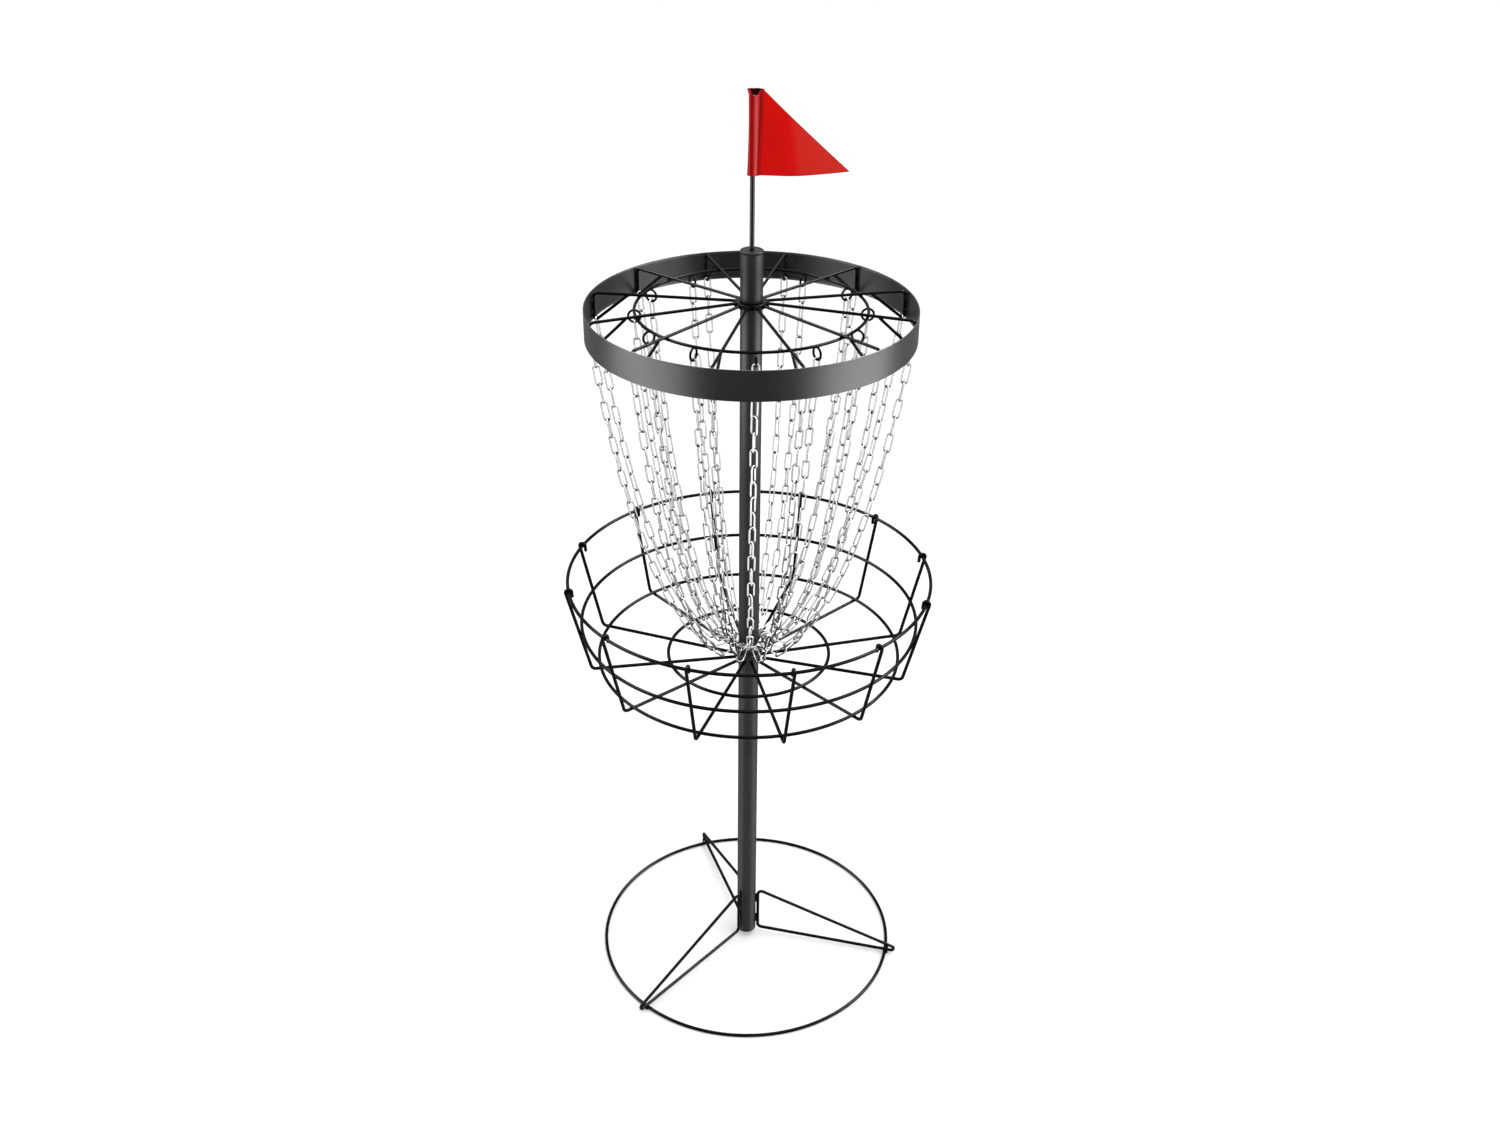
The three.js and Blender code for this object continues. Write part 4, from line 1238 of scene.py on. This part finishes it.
def chain_parts(kind, azimuth, index):
    outer = kind == "outer"
    front = (kind, index) == FRONT_CHAIN
    draw = random.Random((1000 if outer else 2000) + index)
    # pull is the (radius, z) direction in which the connector stands off the collector
    if outer:
        pull = unit((0.985, 0.17))
        top = (257.4, 1268.0 + SPOKE_R)
        low = (52.0, 676.5 + draw.uniform(-1.5, 2.5))
        slack = 1.0205 + draw.uniform(-0.0012, 0.0014)
    else:
        pull = unit((-0.22, 0.975)) if front else unit((0.50, 0.87))
        top = (CHAIN_RING_R, LOOP_Z - LOOP_R + LOOP_WIRE)
        low = (35.0, 700.5) if front else (38.0, 692.0 + draw.uniform(-2.0, 2.0))
        slack = 1.0165 + draw.uniform(-0.0010, 0.0014)
    hole = CONNECTOR_R - LINK_WIRE
    centre = np.array([COLLECTOR_R, COLLECTOR_Z]) + pull * (hole - COLLECTOR_WIRE)
    nodes, pitch = chain_nodes(chain_path(top, low, centre + pull * hole, slack))

    radial, tangent = axes_at(azimuth)
    sway = draw.uniform(-2.2, 2.2) + (FRONT_SWAY if front else 0.0)
    phase = draw.uniform(0, 2 * pi)
    share = np.arange(len(nodes)) / (len(nodes) - 1)
    arch = np.sin(pi * share)
    side = (sway * arch + 0.9 * np.sin(3 * pi * share + phase) * arch) * (1 - 0.55 * share)
    points = point(azimuth, nodes[:, 0], nodes[:, 1], side)

    # every second link starts across the first, and the chain twists as it hangs
    twist = draw.uniform(22, 58) * (1 if draw.random() < 0.5 else -1)
    rate = draw.uniform(0.6, 1.5)
    start = draw.uniform(0, 2 * pi)
    template = link_template(pitch)
    parts = []
    for k, (here, there) in enumerate(zip(points[:-1], points[1:])):
        along = unit(there - here)
        reference = tangent if k % 2 == 0 else radial
        across = unit(reference - along * (reference @ along))
        down = k / (LINKS - 1)
        if front:
            turn = float(np.interp(k, FRONT_TURNS[:, 0], FRONT_TURNS[:, 1]))
        else:
            turn = twist * (math.sin(2 * pi * rate * down + start)
                            - math.sin(start) * math.exp(-3.0 * down))
        turn = math.radians(turn * min(1.0, k / 4) + draw.uniform(-7, 7) * min(1.0, k / 2))
        across = across * math.cos(turn) + np.cross(across, along) * math.sin(turn)
        flip = draw.random() < 0.5
        parts.append(placed_link(template, pitch, here, there, across, flip))

    first_axis = unit(radial * pull[0] + AXIS * pull[1])
    tilt = math.radians(40.0 if front else draw.uniform(43, 56))
    second_axis = unit(
        tangent * math.cos(tilt) + np.cross(first_axis, tangent) * math.sin(tilt))
    parts.append(round_link(point(azimuth, *centre), first_axis, second_axis))
    return parts


def spare_link(azimuth, lean, length, turn):
    """A single link that hangs from the collector ring."""
    radial, tangent = axes_at(azimuth)
    start = point(azimuth, COLLECTOR_R, COLLECTOR_Z + COLLECTOR_WIRE)
    along = unit(tangent * lean - AXIS + radial * 0.1)
    across = unit(radial - along * (radial @ along))
    across = unit(across + np.cross(across, along) * turn)
    return placed_link(link_template(length), length, start, start + along * length, across)


for kind, first in (("outer", SPOKE_AZIMUTH), ("inner", LOOP_AZIMUTH)):
    for i, azimuth in enumerate(stations(first)):
        name = f"chain_{kind}_{i + 1:02d}"
        # painted light: the front chain takes the lighter copy of the zinc
        finish = "zinc_with_painted_light" if (kind, i) == FRONT_CHAIN else "zinc"
        build(f"{name}_links", chain_parts(kind, azimuth, i), finish, name, name, 60.0)
spares = [spare_link(*row) for row in SPARE_LINKS]
build("collector_spare_links", spares, "zinc", "carrier", angle=60.0)


# ---------------------------------------------------------------- top sleeve, cap, flag rod
SLEEVE_R = 18.2
SLEEVE_Z = (CARRIER_HUB_Z[1] + GAP, 1400.0)
CAP_R = 19.0
CAP_TOP = 1404.4
ROD_Z = (1345.5, 1641.0)
ROD_TIP_R = 1.5


def cap_moulding():
    """A flanged cap in the sleeve, with a long closed socket for the rod."""
    plug_r = COLLAR_BORE - 0.4
    flange = SLEEVE_Z[1] + GAP
    # radius, z, wear
    rows = np.array([
        (0.0, 1341.0, 0.0), (7.0, 1341.0, 0.0), (8.0, 1342.0, 0.0), (8.0, 1386.2, 0.0),
        (9.0, 1387.0, 0.0), (plug_r - 0.8, 1388.0, 0.0), (plug_r, 1389.0, 0.0),
        (plug_r, flange, 0.0), (CAP_R - 0.2, flange, 0.0), (CAP_R, flange + 0.25, 0.0),
        (CAP_R, CAP_TOP - 1.6, 0.5), (CAP_R - 0.35, CAP_TOP - 0.6, 0.8),
        (CAP_R - 1.1, CAP_TOP - 0.05, 0.8), (CAP_R - 1.8, CAP_TOP, 0.6),
        (CAP_R - 2.6, CAP_TOP - 0.12, 0.3), (CAP_R - 3.2, CAP_TOP - 0.65, 0.0),
        (CAP_R - 4.2, CAP_TOP - 0.8, 0.0), (6.4, CAP_TOP - 0.7, 0.0),
        (5.7, CAP_TOP - 0.45, 0.3), (4.9, CAP_TOP - 0.5, 0.4), (4.5, CAP_TOP - 0.95, 0.3),
        (4.2, CAP_TOP - 1.8, 0.0), (4.2, 1345.3, 0.0), (3.9, 1345.0, 0.0),
        (0.0, 1345.0, 0.0)])
    return lathe(rows[:, :2], 128, rows[:, 2])


def rod_bar():
    """The flag rod, worn at both ends and where it leaves the cap."""
    low, high = ROD_Z
    wall = [(ROD_R, low + 0.5 + (high - 1.6 - low) * k / 30) for k in range(1, 30)]
    tip = arc(np.array([ROD_R - ROD_TIP_R, high - ROD_TIP_R]), ROD_TIP_R, 0.2, pi / 2 - 0.2, 5)
    profile = np.array([
        (0.0, low), (ROD_R - 0.5, low), (ROD_R, low + 0.5), *wall,
        (ROD_R, high - ROD_TIP_R), *tip, (0.0, high)])
    z = profile[:, 1]
    at_cap = np.where(np.abs(z - 1405) < 5, 0.35, 0.0)
    return lathe(profile, 48, np.where((z < 1350) | (z > 1638), 0.4, at_cap))


sleeve_section = ring_section(COLLAR_BORE, SLEEVE_R, SLEEVE_Z, [0.4, 0.6, 0.3, 0.3], 5)
build("top_tube_sleeve", [lathe(sleeve_section, 128, 0.5)], "pole", "top_tube", "top_tube")
build("cap_moulding", [cap_moulding()], "cap", "top_tube", "cap")
build("flag_rod_bar", [rod_bar()], "rod", "flag_rod", "flag_rod")


# ---------------------------------------------------------------- pennant, in the XZ plane
FIELD_TOP = 1648.6
FIELD_LOW = 1521.2
FIELD_H = FIELD_TOP - FIELD_LOW
FLAG_TOP = 1649.0
SEAM_TOP = 14.8                # x of the seam at the top and at the bottom
SEAM_LOW = 10.4
TIP_X = 145.5
TIP_Z = 1526.5
CLOTH_HALF = 0.34              # half the thickness of one layer
FIELD_GRID = (90, 64)          # steps from seam to tip, and upwards
SLEEVE_GRID = (84, 48)         # steps round the rod, and upwards
STITCH_PITCH = 3.1
STITCH_LENGTH = 2.3
STITCH_R = 0.24


def grid_shares(steps):
    """Shares from 0 to 1 down the rows and across the columns of a grid."""
    rows, columns = steps
    return np.arange(rows + 1)[:, None] / rows, np.arange(columns + 1)[None, :] / columns


def seam_at(height):
    """x of the seam at a share of the field's height."""
    return SEAM_LOW + (SEAM_TOP - SEAM_LOW) * height


def height_of(z):
    return (z - FIELD_LOW) / FIELD_H


def field_y(x, z):
    """How far the sheet stands off the XZ plane: a roll off the seam, a crease, ripples."""
    across = (x - 10.0) / 135.0
    height = height_of(z)
    crease = 52.0 + 14.0 * (1 - height) + 5.0 * np.sin(2.4 * height)
    bend = (x - crease) / 6.0
    ridge = np.log(1 + np.exp(-np.abs(bend))) + np.maximum(0.0, bend)
    roll = -2.1 * smooth(across * 2.4) * (1 - 0.3 * height)
    lean_back = 0.0209 * np.maximum(0.0, x - crease) ** 1.12
    ripple = 0.55 * np.sin(0.075 * x + 3.0 * height) * smooth(across * 3)
    twist = 0.5 * (height - 0.5) * smooth(across * 2)
    return roll + 0.713 * ridge - lean_back + ripple + twist


def lower_edge(x):
    """z of the lower hem, which hangs in a shallow curve."""
    share = (x - SEAM_LOW) / (TIP_X - SEAM_LOW)
    belly = 0.96 * np.sin(pi * np.minimum(1.0, share * 1.05))
    return FIELD_LOW + (TIP_Z - FIELD_LOW) * np.maximum(0.0, share) ** 2.2 - belly


def upper_edge(x):
    share = np.maximum(0.0, (x - SEAM_TOP) / (TIP_X - SEAM_TOP))
    sag = 0.9 * np.sin(pi * np.minimum(1.0, share))
    return FIELD_TOP + (TIP_Z + 0.7 - FIELD_TOP) * share - sag


def sheet(grid):
    """A closed thin sheet about a grid of middle points: two faces and a rounded edge."""
    rows, columns = grid.shape[:2]
    total = rows * columns
    normals = unit_rows(np.cross(np.gradient(grid, axis=0), np.gradient(grid, axis=1)))
    normals = normals.reshape(-1, 3)
    middle = grid.reshape(-1, 3)
    index = np.arange(total).reshape(rows, columns)
    front = np.stack([index[:-1, :-1], index[1:, :-1], index[1:, 1:], index[:-1, 1:]], -1)
    front = front.reshape(-1, 4)
    border = np.concatenate([
        index[:, 0], index[-1, 1:], index[-2::-1, -1], index[0, -2:0:-1]])
    following = np.roll(border, -1)
    # one more row of points stands out from the border and rounds it
    tangents = unit_rows(middle[following] - middle[np.roll(border, 1)])
    away = np.cross(tangents, normals[border])
    inwards = np.einsum("ij,ij->i", away, middle[border] - middle.mean(0)) < 0
    away[inwards] *= -1
    edge = middle[border] + away * CLOTH_HALF * 0.8
    verts = np.vstack([middle + normals * CLOTH_HALF, middle - normals * CLOTH_HALF, edge])
    here = np.arange(len(border)) + 2 * total
    there = np.roll(here, -1)
    faces = [
        front, (front + total)[:, ::-1],
        np.stack([border, following, there, here], -1)[:, ::-1],
        np.stack([here, there, following + total, border + total], -1)[:, ::-1]]
    return verts, faces


def field_part():
    across, height = grid_shares(FIELD_GRID)
    root = seam_at(height) - 2.0
    x = root + (TIP_X - root) * across ** 1.06
    low = lower_edge(x)
    high = np.maximum(upper_edge(x), low + 0.25)
    z = low + (high - low) * height
    verts, faces = sheet(np.stack([x, field_y(x, z), z], -1))

    x, z = verts[:, 0], verts[:, 2]
    # painted shade: a darker needle line in the groove beside the seam
    wear_and_painted_light = 0.55 * bell(np.abs(x - seam_at(height_of(z))), 0.6, 0.9)
    # beyond the crease the sheet leans back, and painted light makes it paler there
    crease_x = 57.3 + (1603.9 - z) * 0.163
    wear_and_painted_light -= (smooth((x - crease_x + 8.0) / 16.0)
             * np.clip(0.86 + 0.14 * np.sin(x * 0.11 + z * 0.05), 0, 1))
    # darker hems
    from_edge = np.minimum(np.abs(upper_edge(x) - z), np.abs(z - lower_edge(x)))
    hem = 0.95 * bell(from_edge, 0, 0.9)
    return verts, faces, np.where(hem > 0.08, np.maximum(wear_and_painted_light, 0) + hem, wear_and_painted_light)


def sleeve_grid():
    """The cloth round the rod: a teardrop section pinched at the seam, open at both ends."""
    around, height = grid_shares(SLEEVE_GRID)
    angle = (around * 0.982 + 0.009) * 2 * pi
    height = 1 - (1 - height) ** 1.15
    cosine, sine = np.cos(angle), np.sin(angle)
    front = sine > 0               # the side towards -Y
    near_top = smooth((height - 0.90) / 0.10)

    right = seam_at(height) + 1.6
    left = (-8.0 + 1.33 * np.sin(pi * height * 0.9) + 1.2 * height
            - 2.0 * smooth((height - 0.93) / 0.07))
    belly = 5.4 + 0.5 * np.sin(3.1 * height + 0.4) + 1.6 * near_top
    pinch = 1.0 - smooth((cosine + 0.05) / 1.05) ** 1.15
    x = (left + right) / 2 + (right - left) / 2 * cosine
    y = -belly * sine * (0.32 * np.abs(sine) + 0.68) * (0.10 + 0.90 * pinch ** 0.72)
    # a lengthways tuck on the front face, on the -X side of the rod's axis
    tuck = bell(x, -3.0, 1.5) * front
    y = y + 0.85 * tuck * (0.6 + 0.4 * np.sin(2.2 * height + 0.3))
    y = y + 0.25 * np.sin(9 * height + 2 * cosine) * np.abs(sine)
    # the seam side follows the field's root
    y = y + field_y(right, FIELD_LOW + height * FIELD_H) * smooth((x - 2) / 12)

    bottom = FIELD_LOW - 0.2
    front_dip = 8.2 * np.exp(-((x - 3.2) / 6.2) ** 4) * np.minimum(1.0, sine * 1.3)
    back_dip = 0.7 * bell(x, 1.0, 4.0)
    z = bottom + (FLAG_TOP - bottom) * height - near_top * np.where(front, front_dip, back_dip)
    return np.stack([x, y, z], -1)


def sleeve_part():
    grid = sleeve_grid()
    verts, faces = sheet(grid)
    # keep clear of the rod
    clear = ROD_R + 0.12
    from_axis = np.hypot(verts[:, 0], verts[:, 1])
    tight = from_axis < clear
    verts[tight, :2] *= (clear / from_axis[tight])[:, None]

    x = verts[:, 0]
    seam = seam_at(height_of(verts[:, 2]))
    # bands of light and shade along the rod, then shade at the seam
    wear_and_painted_light = 0.50 * bell(x, -1.6, 2.2) - 1.0 * bell(x, 4.8, 2.6) - 0.8 * bell(x, -5.2, 0.8)
    wear_and_painted_light = wear_and_painted_light + 0.95 * bell(x, seam - 3.0, 1.0) + 0.25 * bell(x, seam, 0.6)
    # the inner face is the one that lies nearer the middle of the teardrop
    total = grid.shape[0] * grid.shape[1]
    spread = np.hypot(x - 3.0, verts[:, 1])
    first, second = slice(0, total), slice(total, 2 * total)
    inner = second if spread[second].mean() < spread[first].mean() else first
    # painted shade: the inner face takes the deep colour
    wear_and_painted_light[inner] = 1.0
    return verts, faces, wear_and_painted_light


def stitches():
    """A row of stitches along the seam, on both faces."""
    parts = []
    lift = 1.18 + 0.28 * np.sin(pi * np.arange(7) / 6)
    start = FIELD_LOW + 2.0
    while start < FIELD_TOP - 4.0:
        z = np.linspace(start, start + STITCH_LENGTH, 7)
        x = seam_at(height_of(z)) + 0.15
        for side in (-1, 1):
            points = np.stack([x, field_y(x, z) + side * lift, z], -1)
            parts.append(sweep(points, STITCH_R, (1, 0, 0), 8))
        start += STITCH_PITCH
    return parts


build("flag_field", [field_part()], "cloth", "flag", "flag", 60.0)
build("flag_sleeve", [sleeve_part()], "sleeve", "flag", angle=75.0)
build("flag_stitches", stitches(), "thread", "flag")


# ---------------------------------------------------------------- stage, light, camera (m)
def build_floor():
    graph = material_graph("studio_floor", textured=False)
    graph.set(graph.bsdf, {
        "Base Color": (0.965, 0.965, 0.965, 1), "Roughness": 0.9, "Specular IOR Level": 0.1})
    half, z = 60.0, -0.0003
    mesh = bpy.data.meshes.new("studio_floor")
    corners = [(-half, -half, z), (half, -half, z), (half, half, z), (-half, half, z)]
    mesh.from_pydata(corners, [], [(0, 1, 2, 3)])
    mesh.materials.append(graph.finish())
    floor = bpy.data.objects.new("studio_floor", mesh)
    scene.collection.objects.link(floor)
    floor.visible_glossy = False


def build_world():
    """Even white light, while glossy rays see a room with soft boxes and a dark -Y side."""
    world = bpy.data.worlds.new("studio")
    scene.world = world
    world.use_nodes = True
    graph = Graph(world.node_tree, "ShaderNodeOutputWorld")
    direction = graph.add("ShaderNodeTexCoord").outputs["Generated"]
    light_path = graph.add("ShaderNodeLightPath")

    def lobe(towards, edges, level):
        """A soft patch of light. edges are the cosines where it starts and is full."""
        dot = graph.add("ShaderNodeVectorMath", {0: direction, 1: tuple(unit(towards))},
                        operation="DOT_PRODUCT")
        return graph.remap(dot.outputs["Value"], edges, to=(0.0, level), smooth=True)

    sides = graph.total(
        lobe((0.86, -0.22, -0.44), edges=(0.80, 0.985), level=3.4),
        lobe((-0.86, -0.22, -0.44), edges=(0.80, 0.985), level=2.9))
    bright = graph.total(sides, lobe((0.0, 0.0, 1.0), edges=(-0.10, 0.75), level=1.1))
    bright = graph.total(bright, lobe((0.25, -0.1, 1.0), edges=(0.86, 0.99), level=5.0))
    bright = graph.total(bright, graph.total(
        lobe((0.67, 0.20, 0.71), edges=(0.945, 0.99), level=60.0),
        lobe((-0.67, 0.20, 0.71), edges=(0.945, 0.99), level=42.0)))
    room_level = 0.30
    dark_side = lobe((0.0, -0.90, -0.45), edges=(0.70, 0.95), level=0.24)
    glossy = graph.total(bright, graph.math("SUBTRACT", room_level, dark_side))
    plain = graph.add("ShaderNodeValue")
    plain.outputs[0].default_value = 1.0
    strength = graph.add("ShaderNodeMix", {
        0: light_path.outputs["Is Glossy Ray"], 2: plain.outputs[0], 3: glossy},
        data_type="FLOAT")
    background = graph.add("ShaderNodeBackground", {
        "Color": (1.0, 1.0, 1.0, 1.0), "Strength": strength.outputs[0]})
    graph.set(graph.output, {"Surface": background.outputs[0]})


def area_light(name, location, target, size, power):
    data = bpy.data.lights.new(name, "AREA")
    data.shape = "RECTANGLE"
    data.size, data.size_y = size
    data.energy = power
    light = bpy.data.objects.new(name, data)
    scene.collection.objects.link(light)
    light.location = location
    light.rotation_mode = "QUATERNION"
    light.rotation_quaternion = (Vector(target) - Vector(location)).to_track_quat("-Z", "Y")


def build_camera(location, pitch, roll, yaw):
    """The camera looks towards +Y, pitched down; angles are in degrees."""
    data = bpy.data.cameras.new("camera")
    data.sensor_width = 36.0
    data.sensor_fit = "HORIZONTAL"
    data.lens = 37.44
    data.clip_start = 0.05
    data.clip_end = 200.0
    camera = bpy.data.objects.new("camera", data)
    scene.collection.objects.link(camera)
    pitch, roll, yaw = map(math.radians, (pitch, roll, yaw))
    forward = Vector((
        math.sin(yaw) * math.cos(pitch), math.cos(yaw) * math.cos(pitch), -math.sin(pitch)))
    level_right = Vector((math.cos(yaw), -math.sin(yaw), 0.0))
    level_up = level_right.cross(forward)
    right = math.cos(roll) * level_right + math.sin(roll) * level_up
    above = -math.sin(roll) * level_right + math.cos(roll) * level_up
    matrix = Matrix((right, above, -forward)).transposed().to_4x4()
    matrix.translation = location
    camera.matrix_world = matrix
    scene.camera = camera


build_floor()
build_world()
area_light("overhead_softbox", location=(0.6, -0.4, 4.2), target=(0, 0, 0.8),
           size=(3.2, 3.2), power=60)
area_light("right_softbox", location=(3.0, -1.2, 1.9), target=(0, 0, 1.0),
           size=(1.2, 2.2), power=30)
build_camera(location=(-0.0045, -2.334, 2.1857), pitch=29.84, roll=0.49, yaw=0.14)
scene.view_settings.view_transform = "Standard"
scene.view_settings.look = "None"
